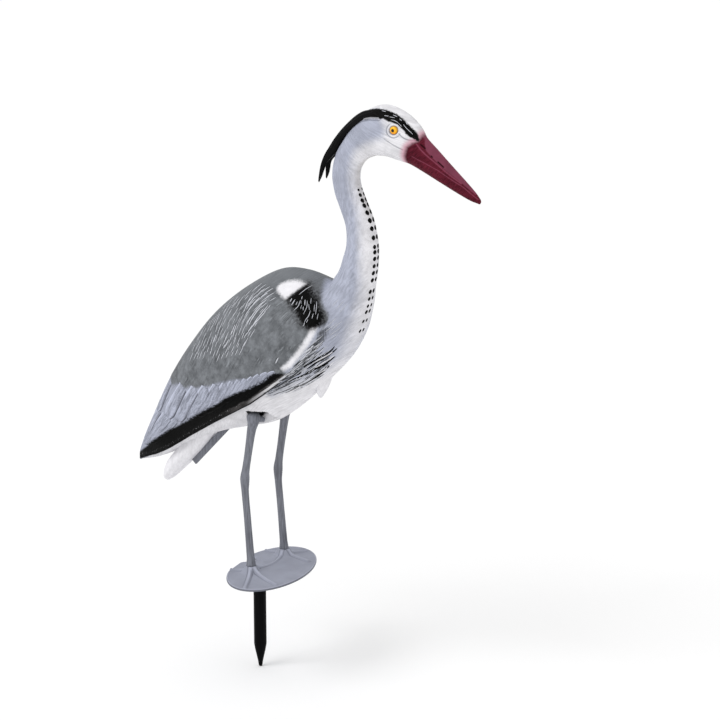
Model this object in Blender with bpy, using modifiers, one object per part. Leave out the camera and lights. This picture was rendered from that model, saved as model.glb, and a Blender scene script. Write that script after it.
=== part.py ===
"""Garden heron decoy: a moulded body on two plug-in legs, a foot plate and a ground spike.

Metres, +Z up. The bird looks along +X and its left side is +Y. The origin is on
the spike's axis at ground level, where the foot plate's rim rests.
Sizes below are in millimetres and turned into metres where points are made.
"""
import math

import bmesh
import bpy
from mathutils import Vector

MM = 0.001
GAP = 0.3

# Body: stations from the tail tip to the bill tip, in the bird's middle plane.
# Each is (back x, back z, belly x, belly z, half width).
TORSO = (
    (-198, 147, -201, 122, 7),
    (-191, 161, -185, 126, 14),
    (-179, 185.5, -165, 133, 20),
    (-161, 219, -138, 146, 30),
    (-133.5, 267, -100, 168, 43),
    (-97, 318.5, -56, 189, 56),
    (-56, 366, -10, 204, 67),
    (-6.5, 406, 35, 219, 73),
    (44, 433.5, 75, 248, 74.5),
    (85, 437.5, 112, 285, 73),
    (109, 430.5, 142, 318, 66),
    (120, 425, 163, 352, 54),
)
NECK = (
    (124, 427.5, 175, 382, 43),
    (127.5, 433.5, 181.5, 402.5, 36),
    (133, 441, 185, 422, 30),
    (139.5, 453, 188.5, 439, 26.5),
    (144.5, 466.5, 191, 457, 24),
    (148.5, 482, 191.7, 481.5, 21.5),
    (147.2, 505.3, 185, 515.5, 19),
    (138, 529, 172, 544.5, 17.8),
    (130, 548.5, 165.5, 560, 17.8),
    (126, 573.5, 163.7, 573, 18),
    (131.5, 600.5, 167, 585.5, 18.5),
    (145.5, 624, 176.8, 597.2, 19.5),
)
HEAD = (
    (161, 646, 191, 603.7, 21),
    (179.5, 663, 200, 604.6, 23.5),
    (204, 672, 207.5, 604.8, 24.6),
    (229.5, 666.5, 214, 604, 24),
    (251, 653, 224, 602, 21),
)
BILL = (
    (259.5, 643.5, 233, 600.3, 17.5),
    (266, 634.7, 243, 598.3, 14.5),
    (281, 622, 261, 591, 12),
    (303.5, 602.5, 288, 579, 9.5),
    (326, 583.5, 315.2, 567, 6.5),
    (340, 571, 333, 560, 4.2),
    (346.5, 563.5, 344, 557.5, 2.0),
)
RING_SIDE = 16
RING_STEP = 11.0
CREST_STEP = 9.0

# Wing: its lower and leading edge in side view (x, z), and how far it stands proud
WING_EDGE = (
    (-203, 123), (-165.5, 141), (-133, 160), (-91, 187.5), (-49.5, 213), (-9.5, 236.5),
    (29, 259), (59.5, 281.5), (88.5, 304.5), (111.5, 324), (129.5, 346), (141, 370.5),
    (146.5, 391), (146.5, 410), (141.5, 426.5), (133, 441),
)
WING_PROUD = 5.0
WING_EDGE_SHARE = 0.06
WING_TAIL_FADE = (-203, -150)
WING_SHOULDER_FADE = (345, 405)
WING_SHARE = (0.5, 0.9)

# Shoulders: near the neck the top of each section is drawn in to a low ridge
RIDGE = 0.65
RIDGE_FROM_X = (40, 105)
RIDGE_TO_Z = (436, 466)

# Under the tail: the white tuft of coverts, and the rib that the mould's parting leaves
UNDERTAIL = (
    (-78, 190, 10, 13), (-98, 165, 11, 15), (-120, 140, 11.5, 15.5), (-138, 121, 11, 14),
    (-150, 109, 9, 10.5), (-157.5, 101.5, 5, 5),
)
RIB_TOP = (-52, 194)
RIB_END = (-109, 133.5)
RIB_DEPTH = 9.5
RIB_THICK = 3.6

# Breast: the hanging tip of the breast plumes, (x, z, half depth, half width)
BREAST_TUFT = ((112, 305, 10, 20), (107.5, 285, 9, 15), (104.5, 271, 6, 9), (103.5, 262, 2, 3))

# Legs: (x, offset from the middle plane, z, radius); the right leg's knee sits higher
LEG_SPREAD = 41
HIP = (20.5, 231)
HIP_TOP = 241
KNEE_X = 4.8
RIGHT_KNEE_Z = 139
LEFT_KNEE_Z = 131
ANKLE = (14.2, 16)
LEG_RADIUS = 5.3
KNEE_RADIUS = 6.8
HIP_RADIUS = 9.0
LEG_SIDES = 12
SOCKET_X = (10, 32)
SOCKET_Y = (19, 54)
INNER_LOBE = 22

# Head crest: (x, z of the outer edge, x, z of the inner edge, offset of each edge, thickness)
CREST_BAND = (
    (212, 665.5, 217, 657, 12.5, 19, 2.6),
    (206, 668.5, 212.5, 658.5, 10.5, 19, 3.4),
    (196, 669.2, 201, 658, 9, 18.5, 4.2),
    (186, 667.2, 187.5, 654.5, 8.5, 17.5, 5),
    (172.5, 660.8, 175.3, 648, 8, 16, 6),
    (159, 651.3, 164, 639.5, 7, 13.5, 7),
    (146, 639, 153, 628.5, 5.5, 10.5, 8),
    (134.8, 624.5, 143.3, 616, 3.2, 7, 9.6),
    (126, 611, 134.5, 606.5, 2.6, 5.6, 10),
    (117.2, 597.5, 128, 597, 2.6, 5.2, 9.8),
    (112.3, 587.8, 119.5, 587, 3, 5.2, 9),
)
PLUME_LONG = ((114.5, 592, 4.5, 5.2, 4), (110.5, 581, 3.4, 6.4, 2.6), (107.4, 570, 2.1, 6.9, 1.8),
              (105.6, 561, 0.7, 7.0, 0.7))
PLUME_SHORT_LIFT = 2.0

# Eyes: centre in the head, radius of the bead and how far it stands out
EYE = (230, 644.3)
EYE_RADIUS = 5.0
EYE_DEPTH = 4.0
EYE_SEAT = 21.5

# Foot plate: a moulded oval, turned a little on the spike, with a tented top
PLATE_CENTRE = (25, -6)
PLATE_HALF = (54, 92)
PLATE_TURN = math.radians(8.5)
PLATE_BACK = 49.5
PLATE_WALL = 2.8
PLATE_RISE = 5.0
ANKLE_TOP = 15.0
TOE_RADIUS = (4.2, 2.0)
TOES_RIGHT = ((38.5, -92), (68, -60), (-20, -44))
TOES_LEFT = ((62, 37), (30, 76), (-20, 46))
WEB_MEET = (20, 11)
NOTCH = ((-34, -6), (-34, 19), (-9, 6))
BOSS_RADIUS = 13

# Ground spike
SPIKE_RADIUS = 8.9
SPIKE_LENGTH = 152
SPIKE_TAPER = 35
SPIKE_TIP_RADIUS = 2.6
SPIKE_SIDES = 8


def clear_scene():
    for old in list(bpy.data.objects):
        bpy.data.objects.remove(old, do_unlink=True)


def new_collection(name):
    made = bpy.data.collections.new(name)
    bpy.context.scene.collection.children.link(made)
    return made


def material(name, colour, roughness, metallic=0.0):
    made = bpy.data.materials.new(name)
    made.use_nodes = True
    shader = made.node_tree.nodes["Principled BSDF"]
    shader.inputs["Base Color"].default_value = (*colour, 1.0)
    shader.inputs["Roughness"].default_value = roughness
    shader.inputs["Metallic"].default_value = metallic
    return made


def add_object(name, mesh, collection, finish=None):
    made = bpy.data.objects.new(name, mesh)
    collection.objects.link(made)
    if finish:
        mesh.materials.append(finish)
    mesh.shade_smooth()
    mesh.set_sharp_from_angle(angle=math.radians(40))
    return made


def smooth_path(stations, step):
    """Points every step along a smooth curve through the stations, whose first values are x and z."""
    places = [0.0]
    for a, b in zip(stations, stations[1:]):
        middle_a = Vector(((a[0] + a[2]) / 2, (a[1] + a[3]) / 2))
        middle_b = Vector(((b[0] + b[2]) / 2, (b[1] + b[3]) / 2))
        places.append(places[-1] + (middle_b - middle_a).length)
    last = len(stations) - 1
    slopes = []
    for i in range(last + 1):
        low, high = max(i - 1, 0), min(i + 1, last)
        span = places[high] - places[low]
        slopes.append([(q - p) / span for p, q in zip(stations[low], stations[high])])
    path = []
    for i in range(last):
        span = places[i + 1] - places[i]
        parts = max(1, round(span / step))
        for k in range(parts):
            path.append(hermite(stations[i], stations[i + 1], slopes[i], slopes[i + 1], span, k / parts))
    path.append(list(stations[-1]))
    return path


def hermite(start, end, slope_start, slope_end, span, t):
    keep = 2 * t ** 3 - 3 * t ** 2 + 1
    leave = t ** 3 - 2 * t ** 2 + t
    arrive = t ** 3 - t ** 2
    return [keep * p + leave * span * u + (1 - keep) * q + arrive * span * v
            for p, q, u, v in zip(start, end, slope_start, slope_end)]


def ramp(value, low, high):
    """0 at low, 1 at high, with soft ends."""
    t = min(1.0, max(0.0, (value - low) / (high - low)))
    return t * t * (3 - 2 * t)


def loft(name, rings, tip_start=None, tip_end=None):
    """A closed mesh over rings of equal count, with a flat cap or a point at each end."""
    shape = bmesh.new()
    rows = [[shape.verts.new(Vector(p) * MM) for p in ring] for ring in rings]
    count = len(rows[0])
    for low, high in zip(rows, rows[1:]):
        for i in range(count):
            j = (i + 1) % count
            shape.faces.new((low[i], low[j], high[j], high[i]))
    for row, tip, flip in ((rows[0], tip_start, True), (rows[-1], tip_end, False)):
        if tip is None:
            shape.faces.new(list(reversed(row)) if flip else row)
            continue
        point = shape.verts.new(Vector(tip) * MM)
        for i in range(count):
            j = (i + 1) % count
            shape.faces.new((row[j], row[i], point) if flip else (row[i], row[j], point))
    bmesh.ops.recalc_face_normals(shape, faces=shape.faces)
    mesh = bpy.data.meshes.new(name)
    shape.to_mesh(mesh)
    shape.free()
    return mesh


def edge_share(back, belly):
    """Where the wing's edge crosses the line from back to belly, as a share of it, or None."""
    line = belly - back
    found = None
    for a, b in zip(WING_EDGE, WING_EDGE[1:]):
        a = Vector(a)
        way = Vector(b) - a
        det = line.x * -way.y + line.y * way.x
        if abs(det) < 1e-9:
            continue
        rhs = a - back
        share = (rhs.x * -way.y + rhs.y * way.x) / det
        along = (line.x * rhs.y - line.y * rhs.x) / det
        if 0 <= along <= 1 and 0 <= share <= 1.1:
            found = share if found is None else max(found, share)
    return found


def body_ring(section, grow=0.0):
    """One section of the body: an oval from back to belly, with the wing's step on each side."""
    back = Vector((section[0], section[1]))
    belly = Vector((section[2], section[3]))
    half_width = section[4] + grow
    middle = (back + belly) / 2
    half_line = (belly - back) / 2
    half_line *= 1 + grow / half_line.length
    outward = Vector((-half_line.y, half_line.x)).normalized()
    share = edge_share(back, belly)
    proud = 0.0
    if share is not None:
        proud = WING_PROUD * ramp(middle.x, *WING_TAIL_FADE) * (1 - ramp(back.y + share * (belly - back).y,
                                                                        *WING_SHOULDER_FADE))
    share = min(max(share or 0.0, WING_SHARE[0]), WING_SHARE[1])
    edge_angle = math.acos(1 - 2 * share)
    after = edge_angle + math.pi * WING_EDGE_SHARE
    above = RING_SIDE * 9 // 16
    below = RING_SIDE - above - 1
    ridge = 1 + RIDGE * ramp(middle.x, *RIDGE_FROM_X) * (1 - ramp(back.y, *RIDGE_TO_Z))
    angles = [edge_angle * k / above for k in range(above + 1)]
    angles += [after + (math.pi - after) * k / below for k in range(below + 1)]
    side = []
    for k, angle in enumerate(angles):
        centre = middle - half_line * math.cos(angle)
        reach = half_width * math.sin(angle) ** (ridge if angle < math.pi / 2 else 1)
        if k <= above:
            lift = proud * ramp(k / above, 0.1, 1.0)
            reach += lift * math.sin(angle)
            centre -= half_line.normalized() * lift * math.cos(angle)
        side.append((centre.x, reach, centre.y))
    left = [(x, y, z) for x, y, z in side]
    right = [(x, -y, z) for x, y, z in reversed(side[1:-1])]
    return left + right


def body_mesh(name, stations, grow=0.0, tips=True):
    rings = [body_ring(s, grow) for s in smooth_path(stations, RING_STEP)]
    if not tips:
        return loft(name, rings)
    first, last = stations[0], stations[-1]
    tail_tip = ((first[0] + first[2]) / 2 - 2.5, 0, (first[1] + first[3]) / 2 - 6)
    bill_tip = ((last[0] + last[2]) / 2 + 1.8, 0, (last[1] + last[3]) / 2 - 1.6)
    return loft(name, rings, tail_tip, bill_tip)


def lobe_mesh(name, stations, sides=12):
    """A tapering lobe in the middle plane; each station is (x, z, half depth, half width)."""
    rings = []
    for i, (x, z, deep, wide) in enumerate(stations):
        before, after = stations[max(i - 1, 0)], stations[min(i + 1, len(stations) - 1)]
        along = Vector((after[0] - before[0], after[1] - before[1])).normalized()
        across = Vector((-along.y, along.x))
        ring = []
        for k in range(sides):
            turn = 2 * math.pi * k / sides
            ring.append((x + across.x * deep * math.cos(turn), wide * math.sin(turn),
                         z + across.y * deep * math.cos(turn)))
        rings.append(ring)
    return loft(name, rings)


def tube_mesh(name, points, sides, squash=1.0):
    """A round bar through (x, y, z, radius) points, its sections level."""
    rings = []
    for x, y, z, radius in points:
        ring = []
        for k in range(sides):
            turn = 2 * math.pi * (k + 0.5) / sides
            ring.append((x + radius * math.cos(turn), y + radius * squash * math.sin(turn), z))
        rings.append(ring)
    return loft(name, rings)


def rod_mesh(name, start, end, radius_start, radius_end, sides=6):
    """A straight tapering rod between two points."""
    a, b = Vector(start), Vector(end)
    along = (b - a).normalized()
    across = along.cross(Vector((0, 0, 1))).normalized()
    over = across.cross(along)
    rings = []
    for centre, radius in ((a, radius_start), (b, radius_end)):
        rings.append([centre + (across * math.cos(2 * math.pi * k / sides)
                                + over * math.sin(2 * math.pi * k / sides)) * radius for k in range(sides)])
    return loft(name, rings)


def box_mesh(name, low, high):
    rings = []
    for z in (low[2], high[2]):
        rings.append([(low[0], low[1], z), (high[0], low[1], z), (high[0], high[1], z), (low[0], high[1], z)])
    return loft(name, rings)


def combine(target, other_mesh, operation, cutters):
    """Joins a mesh to the target, or cuts it away, with an exact Boolean."""
    cutter = bpy.data.objects.new(target.name + "_" + operation.lower(), other_mesh)
    cutters.objects.link(cutter)
    cutter.hide_render = True
    cutter.display_type = "WIRE"
    step = target.modifiers.new(other_mesh.name, "BOOLEAN")
    step.operation = operation
    step.solver = "EXACT"
    step.object = cutter
    return cutter


def slab_mesh(name):
    """The rib under the tail: a flat bar in the middle plane with a square end."""
    top, end = Vector(RIB_TOP), Vector(RIB_END)
    across = Vector((-(end - top).y, (end - top).x)).normalized() * (RIB_DEPTH / 2)
    corners = (top + across, end + across, end - across, top - across)
    rings = []
    for y in (-RIB_THICK / 2, RIB_THICK / 2):
        rings.append([(c.x, y, c.y) for c in corners])
    return loft(name, rings)


def make_body(parts, cutters, finish):
    body = add_object("heron_body", body_mesh("heron_body", TORSO + NECK + HEAD + BILL), parts, finish)
    combine(body, lobe_mesh("undertail", UNDERTAIL), "UNION", cutters)
    combine(body, lobe_mesh("breast_tuft", BREAST_TUFT), "UNION", cutters)
    combine(body, slab_mesh("tail_rib"), "UNION", cutters)
    for side in (-1, 1):
        y_low, y_high = sorted(side * y for y in SOCKET_Y)
        socket = box_mesh("leg_socket", (SOCKET_X[0], y_low, 190), (SOCKET_X[1], y_high, HIP_TOP + GAP))
        combine(body, socket, "DIFFERENCE", cutters)
        combine(body, eye_seat("eye_seat", side, GAP, 12), "DIFFERENCE", cutters)
    return body


def eye_seat(name, side, grow, length):
    """A short round plug on the side of the head, its axis level."""
    rings = []
    for y in (EYE_SEAT - EYE_DEPTH - grow, EYE_SEAT + length):
        rings.append([(EYE[0] + (EYE_RADIUS + grow) * math.cos(2 * math.pi * k / 16), side * y,
                       EYE[1] + (EYE_RADIUS + grow) * math.sin(2 * math.pi * k / 16)) for k in range(16)])
    return loft(name, rings)


def make_eye(name, side, parts, finish):
    """A bead: a round plug with a domed front."""
    rings = []
    profile = [(-EYE_DEPTH, 1.0), (0.6, 1.0), (1.5, 0.86), (2.2, 0.6), (2.6, 0.3)]
    for y, share in profile:
        rings.append([(EYE[0] + EYE_RADIUS * share * math.cos(2 * math.pi * k / 16), side * (EYE_SEAT + y),
                       EYE[1] + EYE_RADIUS * share * math.sin(2 * math.pi * k / 16)) for k in range(16)])
    mesh = loft(name, rings, None, (EYE[0], side * (EYE_SEAT + 2.75), EYE[1]))
    return add_object(name, mesh, parts, finish)


def make_crest(parts, cutters, finish):
    """The black crest: a band on each side of the crown that meets at the nape in two plumes."""
    crest = None
    for side in (-1, 1):
        band = loft("crest_band", band_rings(side))
        if crest is None:
            crest = add_object("crest_plumes", band, parts, finish)
        else:
            combine(crest, band, "UNION", cutters)
        lift = PLUME_SHORT_LIFT if side > 0 else 0.0
        plume = []
        for x, z, deep, offset, thick in PLUME_LONG:
            plume.append([(x + lift * 0.4 + deep * math.cos(2 * math.pi * k / 8),
                           side * offset + thick * math.sin(2 * math.pi * k / 8), z + lift) for k in range(8)])
        combine(crest, loft("crest_plume", plume), "UNION", cutters)
    head = body_mesh("head_clearance", NECK[4:] + HEAD + BILL[:2], GAP, tips=False)
    combine(crest, head, "DIFFERENCE", cutters)
    return crest


def band_rings(side):
    """Oval sections of the crest's band on one side, each from its outer to its inner edge."""
    path = smooth_path(CREST_BAND, CREST_STEP)
    outer = [Vector((p[0], side * p[4], p[1])) for p in path]
    inner = [Vector((p[2], side * p[5], p[3])) for p in path]
    middles = [(a + b) / 2 for a, b in zip(outer, inner)]
    rings = []
    for i, section in enumerate(path):
        along = middles[min(i + 1, len(path) - 1)] - middles[max(i - 1, 0)]
        across = (inner[i] - outer[i]) / 2
        lift = along.cross(across).normalized() * section[6] / 2
        rings.append([middles[i] + across * math.cos(turn) + lift * math.sin(turn)
                      for turn in (2 * math.pi * (k + 0.5) / 8 for k in range(8))])
    return rings


def make_leg(name, side, knee_z, parts, cutters, finish):
    y = side * LEG_SPREAD
    hip_x, hip_z = HIP
    ankle_x, ankle_z = ANKLE
    shin = Vector((ankle_x - KNEE_X, ankle_z - knee_z))
    thigh = Vector((hip_x - KNEE_X, hip_z - knee_z))
    low_knee = 9 / -shin.y
    high_knee = 9 / thigh.y
    points = [
        (ankle_x, y, ankle_z - 0.7, LEG_RADIUS + 0.3),
        (ankle_x - 0.6, y, ankle_z + 10, LEG_RADIUS),
        (KNEE_X + shin.x * 0.45, y, knee_z + shin.y * 0.45, LEG_RADIUS - 0.4),
        (KNEE_X + shin.x * low_knee, y, knee_z - 9, LEG_RADIUS - 0.2),
        (KNEE_X - 0.4, y, knee_z - 3, KNEE_RADIUS),
        (KNEE_X - 0.2, y, knee_z + 3, KNEE_RADIUS - 0.4),
        (KNEE_X + thigh.x * high_knee, y, knee_z + 9, LEG_RADIUS),
        (KNEE_X + thigh.x * 0.5, y, knee_z + thigh.y * 0.5, LEG_RADIUS),
        (KNEE_X + thigh.x * 0.78, y, knee_z + thigh.y * 0.78, LEG_RADIUS + 0.8),
        (hip_x - 0.5, y, hip_z - 9, HIP_RADIUS - 1.2),
        (hip_x, y, hip_z - 2, HIP_RADIUS),
        (hip_x, y, hip_z + 4, HIP_RADIUS),
        (hip_x, y, HIP_TOP, HIP_RADIUS - 2.5),
    ]
    leg = add_object(name, tube_mesh(name, points, LEG_SIDES), parts, finish)
    lobe = rod_mesh("hip_lobe", (hip_x, y, hip_z - 1), (hip_x + 4, side * INNER_LOBE, hip_z - 8), 6.5, 3.2, 8)
    combine(leg, lobe, "UNION", cutters)
    return leg


def plate_point(turn, share):
    """A point of the plate's oval, at a share of its radius."""
    u = max(PLATE_HALF[0] * math.cos(turn), -PLATE_BACK) * share
    v = PLATE_HALF[1] * share * math.sin(turn)
    c, s = math.cos(PLATE_TURN), math.sin(PLATE_TURN)
    return PLATE_CENTRE[0] + u * c - v * s, PLATE_CENTRE[1] + u * s + v * c


def plate_top(x, y, share):
    """Height of the plate's upper face: a rim that rises to the ankles as a low tent."""
    tent = 0.0
    for foot in (-1, 1):
        away = math.hypot((x - ANKLE[0]) / 42, (y - foot * LEG_SPREAD) / 46)
        tent = max(tent, 1 - ramp(away, 0.0, 1.0))
    rim = 1 - ramp(share, 0.4, 1.0)
    return PLATE_WALL + PLATE_RISE * rim * (0.35 + 0.65 * tent)


def make_plate(parts, cutters, finish):
    turns = 36
    shares = (0.25, 0.5, 0.7, 0.86, 1.0)
    shape = bmesh.new()
    centre = shape.verts.new(Vector((*PLATE_CENTRE, plate_top(*PLATE_CENTRE, 0))) * MM)
    rows = []
    for share in shares:
        row = []
        for k in range(turns):
            x, y = plate_point(2 * math.pi * k / turns, share)
            row.append(shape.verts.new(Vector((x, y, plate_top(x, y, share))) * MM))
        rows.append(row)
    for k in range(turns):
        shape.faces.new((centre, rows[0][k], rows[0][(k + 1) % turns]))
        for low, high in zip(rows, rows[1:]):
            shape.faces.new((low[k], high[k], high[(k + 1) % turns], low[(k + 1) % turns]))
    bmesh.ops.recalc_face_normals(shape, faces=shape.faces)
    mesh = bpy.data.meshes.new("foot_plate")
    shape.to_mesh(mesh)
    shape.free()
    plate = add_object("foot_plate", mesh, parts, finish)
    wall = plate.modifiers.new("wall", "SOLIDIFY")
    wall.thickness = PLATE_WALL * MM
    wall.offset = -1.0
    boss = tube_mesh("spike_boss", ((0, 0, 0, BOSS_RADIUS), (0, 0, 6, BOSS_RADIUS)), 16)
    combine(plate, boss, "UNION", cutters)
    for foot, toes in ((-1, TOES_RIGHT), (1, TOES_LEFT)):
        ankle = Vector((ANKLE[0], foot * LEG_SPREAD, 0))
        lump = tube_mesh("ankle_lump", ((ankle.x, ankle.y, 4, 13), (ankle.x, ankle.y, 10, 11),
                                        (ankle.x, ankle.y, ANKLE_TOP, 8.2)), 14)
        combine(plate, lump, "UNION", cutters)
        for toe in toes + (WEB_MEET,):
            end = Vector((*toe, 0))
            height = 6.0 if toe == WEB_MEET else PLATE_WALL - 0.6
            ridge = rod_mesh("toe", ankle + Vector((0, 0, 9.5)), end + Vector((0, 0, height)), *TOE_RADIUS)
            combine(plate, ridge, "UNION", cutters)
    rings = [[(x, y, z) for x, y in NOTCH] for z in (-5, 20)]
    combine(plate, loft("back_notch", rings), "DIFFERENCE", cutters)
    return plate


def make_spike(parts, finish):
    straight = SPIKE_LENGTH - SPIKE_TAPER
    points = ((0, 0, -SPIKE_LENGTH + 1.5, SPIKE_TIP_RADIUS), (0, 0, -straight - 1, SPIKE_RADIUS - 0.5),
              (0, 0, -straight, SPIKE_RADIUS), (0, 0, -GAP, SPIKE_RADIUS))
    rings = []
    for x, y, z, radius in points:
        rings.append([(x + radius * math.cos(2 * math.pi * (k + 0.5) / SPIKE_SIDES),
                       y + radius * math.sin(2 * math.pi * (k + 0.5) / SPIKE_SIDES), z)
                      for k in range(SPIKE_SIDES)])
    return add_object("ground_spike", loft("ground_spike", rings, (0, 0, -SPIKE_LENGTH), None), parts, finish)


def main():
    clear_scene()
    parts = new_collection("heron_decoy")
    cutters = new_collection("cutters")
    plumage = material("painted_plumage", (0.32, 0.33, 0.37), 0.5)
    crest = material("glossy_black", (0.01, 0.01, 0.01), 0.25)
    eye = material("eye_bead", (0.85, 0.45, 0.05), 0.15)
    leg = material("leg_plastic", (0.2, 0.21, 0.25), 0.5)
    plate = material("plate_plastic", (0.32, 0.33, 0.38), 0.5)
    spike = material("spike_plastic", (0.01, 0.01, 0.01), 0.35)
    make_body(parts, cutters, plumage)
    make_crest(parts, cutters, crest)
    make_eye("right_eye", -1, parts, eye)
    make_eye("left_eye", 1, parts, eye)
    make_leg("right_leg", -1, RIGHT_KNEE_Z, parts, cutters, leg)
    make_leg("left_leg", 1, LEFT_KNEE_Z, parts, cutters, leg)
    make_plate(parts, cutters, plate)
    make_spike(parts, spike)


main()
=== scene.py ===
"""Garden heron decoy: the painted looks of a moulded plastic heron on its foot plate and ground spike.

The bird looks along +X, its left side is +Y and +Z is up; the origin is on the spike's axis
at ground level. Shapes are worked out in millimetres and placed in metres.
"""

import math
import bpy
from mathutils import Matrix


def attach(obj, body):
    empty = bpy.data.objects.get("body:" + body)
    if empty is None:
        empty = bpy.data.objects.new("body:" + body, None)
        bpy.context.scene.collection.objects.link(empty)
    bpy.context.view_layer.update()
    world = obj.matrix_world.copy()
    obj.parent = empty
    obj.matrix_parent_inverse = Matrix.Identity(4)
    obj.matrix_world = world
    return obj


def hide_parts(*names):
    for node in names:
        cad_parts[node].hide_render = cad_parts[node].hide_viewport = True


bl_info = {
    "name": "Garden Heron Decoy",
    "version": (1, 0, 0),
    "blender": (4, 5, 0),
    "location": "View3D > Sidebar > Heron",
    "description": "Models and paints a plastic heron decoy with its legs, foot plate and ground spike",
    "category": "Object",
}

import bpy
import numpy as np
from bpy.props import FloatProperty, FloatVectorProperty, IntProperty, PointerProperty
from mathutils import Vector
from mathutils.bvhtree import BVHTree

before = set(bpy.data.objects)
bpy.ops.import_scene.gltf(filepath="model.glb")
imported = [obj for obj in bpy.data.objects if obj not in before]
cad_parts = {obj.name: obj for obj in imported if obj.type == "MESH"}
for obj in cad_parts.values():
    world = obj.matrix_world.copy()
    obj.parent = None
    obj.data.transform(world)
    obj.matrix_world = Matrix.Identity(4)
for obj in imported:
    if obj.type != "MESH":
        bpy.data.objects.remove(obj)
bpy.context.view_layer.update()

MM = 0.001

# Body sections in the middle plane: back x, back z, belly x, belly z, half width
TORSO = (
    (-198, 147, -201, 122, 7), (-191, 161, -185, 126, 14), (-179, 185.5, -165, 133, 20),
    (-161, 219, -138, 146, 30), (-133.5, 267, -100, 168, 43), (-97, 318.5, -56, 189, 56),
    (-56, 366, -10, 204, 67), (-6.5, 406, 35, 219, 73), (44, 433.5, 75, 248, 74.5),
    (85, 437.5, 112, 285, 73), (109, 430.5, 142, 318, 66), (120, 425, 163, 352, 54),
)
NECK = (
    (124, 427.5, 175, 382, 43), (127.5, 433.5, 181.5, 402.5, 36), (133, 441, 185, 422, 30),
    (139.5, 453, 188.5, 439, 26.5), (144.5, 466.5, 191, 457, 24), (148.5, 482, 191.7, 481.5, 21.5),
    (147.2, 505.3, 185, 515.5, 19), (138, 529, 172, 544.5, 17.8), (130, 548.5, 165.5, 560, 17.8),
    (126, 573.5, 163.7, 573, 18), (131.5, 600.5, 167, 585.5, 18.5), (145.5, 624, 176.8, 597.2, 19.5),
)
HEAD = (
    (161, 646, 191, 603.7, 21), (179.5, 663, 200, 604.6, 23.5), (204, 672, 207.5, 604.8, 24.6),
    (229.5, 666.5, 214, 604, 24), (251, 653, 224, 602, 21),
)
BILL = (
    (259.5, 643.5, 233, 600.3, 17.5), (266, 634.7, 243, 598.3, 14.5), (281, 622, 261, 591, 12),
    (303.5, 602.5, 288, 579, 9.5), (326, 583.5, 315.2, 567, 6.5), (340, 571, 333, 560, 4.2),
    (346.5, 563.5, 344, 557.5, 2.0),
)
TAIL_TIP = (-202, 128.5)
BILL_TIP = (347.1, 558.9)
ROW_STEPS = ((TORSO, 2.35), (NECK, 1.9), (HEAD, 1.15), (BILL, 1.2))
CAP_SHRINK = (0.35, 0.62, 0.82, 0.95)
ABOVE_EDGE, ON_EDGE, BELOW_EDGE = 58, 7, 39
EDGE_STEEPNESS = 0.055

# The wing's lower and leading edge in side view, and the step that it stands proud
WING_EDGE = (
    (-203, 123), (-165.5, 141), (-133, 160), (-91, 187.5), (-49.5, 213), (-9.5, 236.5),
    (29, 259), (59.5, 281.5), (88.5, 304.5), (111.5, 324), (129.5, 346), (141, 370.5),
    (146.5, 391), (146.5, 410), (141.5, 426.5), (133, 441),
)
WING_TAIL_FADE = (-203, -150)
WING_SHOULDER_FADE = (345, 405)
WING_SHARE = (0.5, 0.9)
RIDGE = 0.65
RIDGE_FROM_X = (40, 105)
RIDGE_TO_Z = (436, 466)

# Painted areas in side view (x, z)
WING_AREA = WING_EDGE[:13] + (
    (145, 398), (133.5, 407.5), (124, 415.5), (119, 421.5), (112, 430), (106, 450), (-20, 470), (-260, 260),
    (-230, 130),
)
VANE_AREA = (
    (-150, 275), (-130, 262), (-114, 255.5), (-96, 262), (-81, 259.5), (-67.5, 265.5), (-58, 265.5),
    (-46, 269.5),
    (-37, 273), (-28.5, 274.5), (-19.5, 279.5), (-11, 283), (-2.5, 285), (5.5, 288.5), (14.5, 291),
    (25.5, 293.5),
    (37, 295.5), (49, 300.5), (66, 306), (84, 309), (60, 270), (-60, 190), (-203, 110), (-240, 150),
    (-200, 260),
)
STRIPE_UPPER = (
    (-206, 131), (-196, 137), (-183.5, 145.5), (-159, 163), (-142, 174.5), (-124.5, 186), (-102.5, 199.5),
    (-80, 212.5), (-64, 223), (-47.5, 233.5), (-33.5, 241), (-19.5, 249.5), (-4.5, 260.5), (11, 269),
    (23, 274.5),
    (36, 281), (56.5, 292.5), (61.5, 297), (72, 305.5), (80, 309.5), (88, 310.5),
)
WHITE_PATCH = (
    (62.5, 415), (61, 420.5), (67, 424.5), (76.5, 427), (85.5, 427), (92.5, 426), (97.5, 424.5),
    (90, 416.5),
    (82, 407.5), (76.5, 409), (69.5, 412),
)
BLACK_PATCH = (
    (97.5, 425.5), (102, 424.5), (107, 421.5), (121, 413), (131.5, 405), (141.5, 398), (144.5, 389.5),
    (142, 381),
    (135, 377.5), (127, 376), (120, 381.5), (113, 387.5), (108.5, 393.5), (99, 398.5), (88, 405),
    (82.5, 408), (90, 416),
)
LEADING_BAND = ((135, 380), (131.5, 368), (126.5, 357.5), (118.5, 346.5), (109, 334.5), (100, 324),
    (91, 317.5))
NECK_GREY_AREA = (
    (211, 657), (217, 648.5), (219, 641), (215, 632.5), (200, 627), (186, 621), (171.5, 611.5),
    (165, 600.5),
    (160.5, 585), (159, 573.5), (160.5, 560.5), (165.5, 545), (171, 530), (174.5, 514.5), (177.5, 483.5),
    (179, 441), (179, 433), (177, 412), (172.5, 391.5), (167, 373.5), (162.5, 358.5), (157, 345),
    (148, 330),
    (135, 316), (118, 302), (95, 292), (60, 270), (30, 330), (30, 480), (90, 520), (90, 700), (205, 700),
)
CROWN_AREA = ((160, 655), (175, 661.5), (194, 667), (209, 668), (217, 667.5), (228, 664.5), (230, 700),
    (150, 700))
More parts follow.
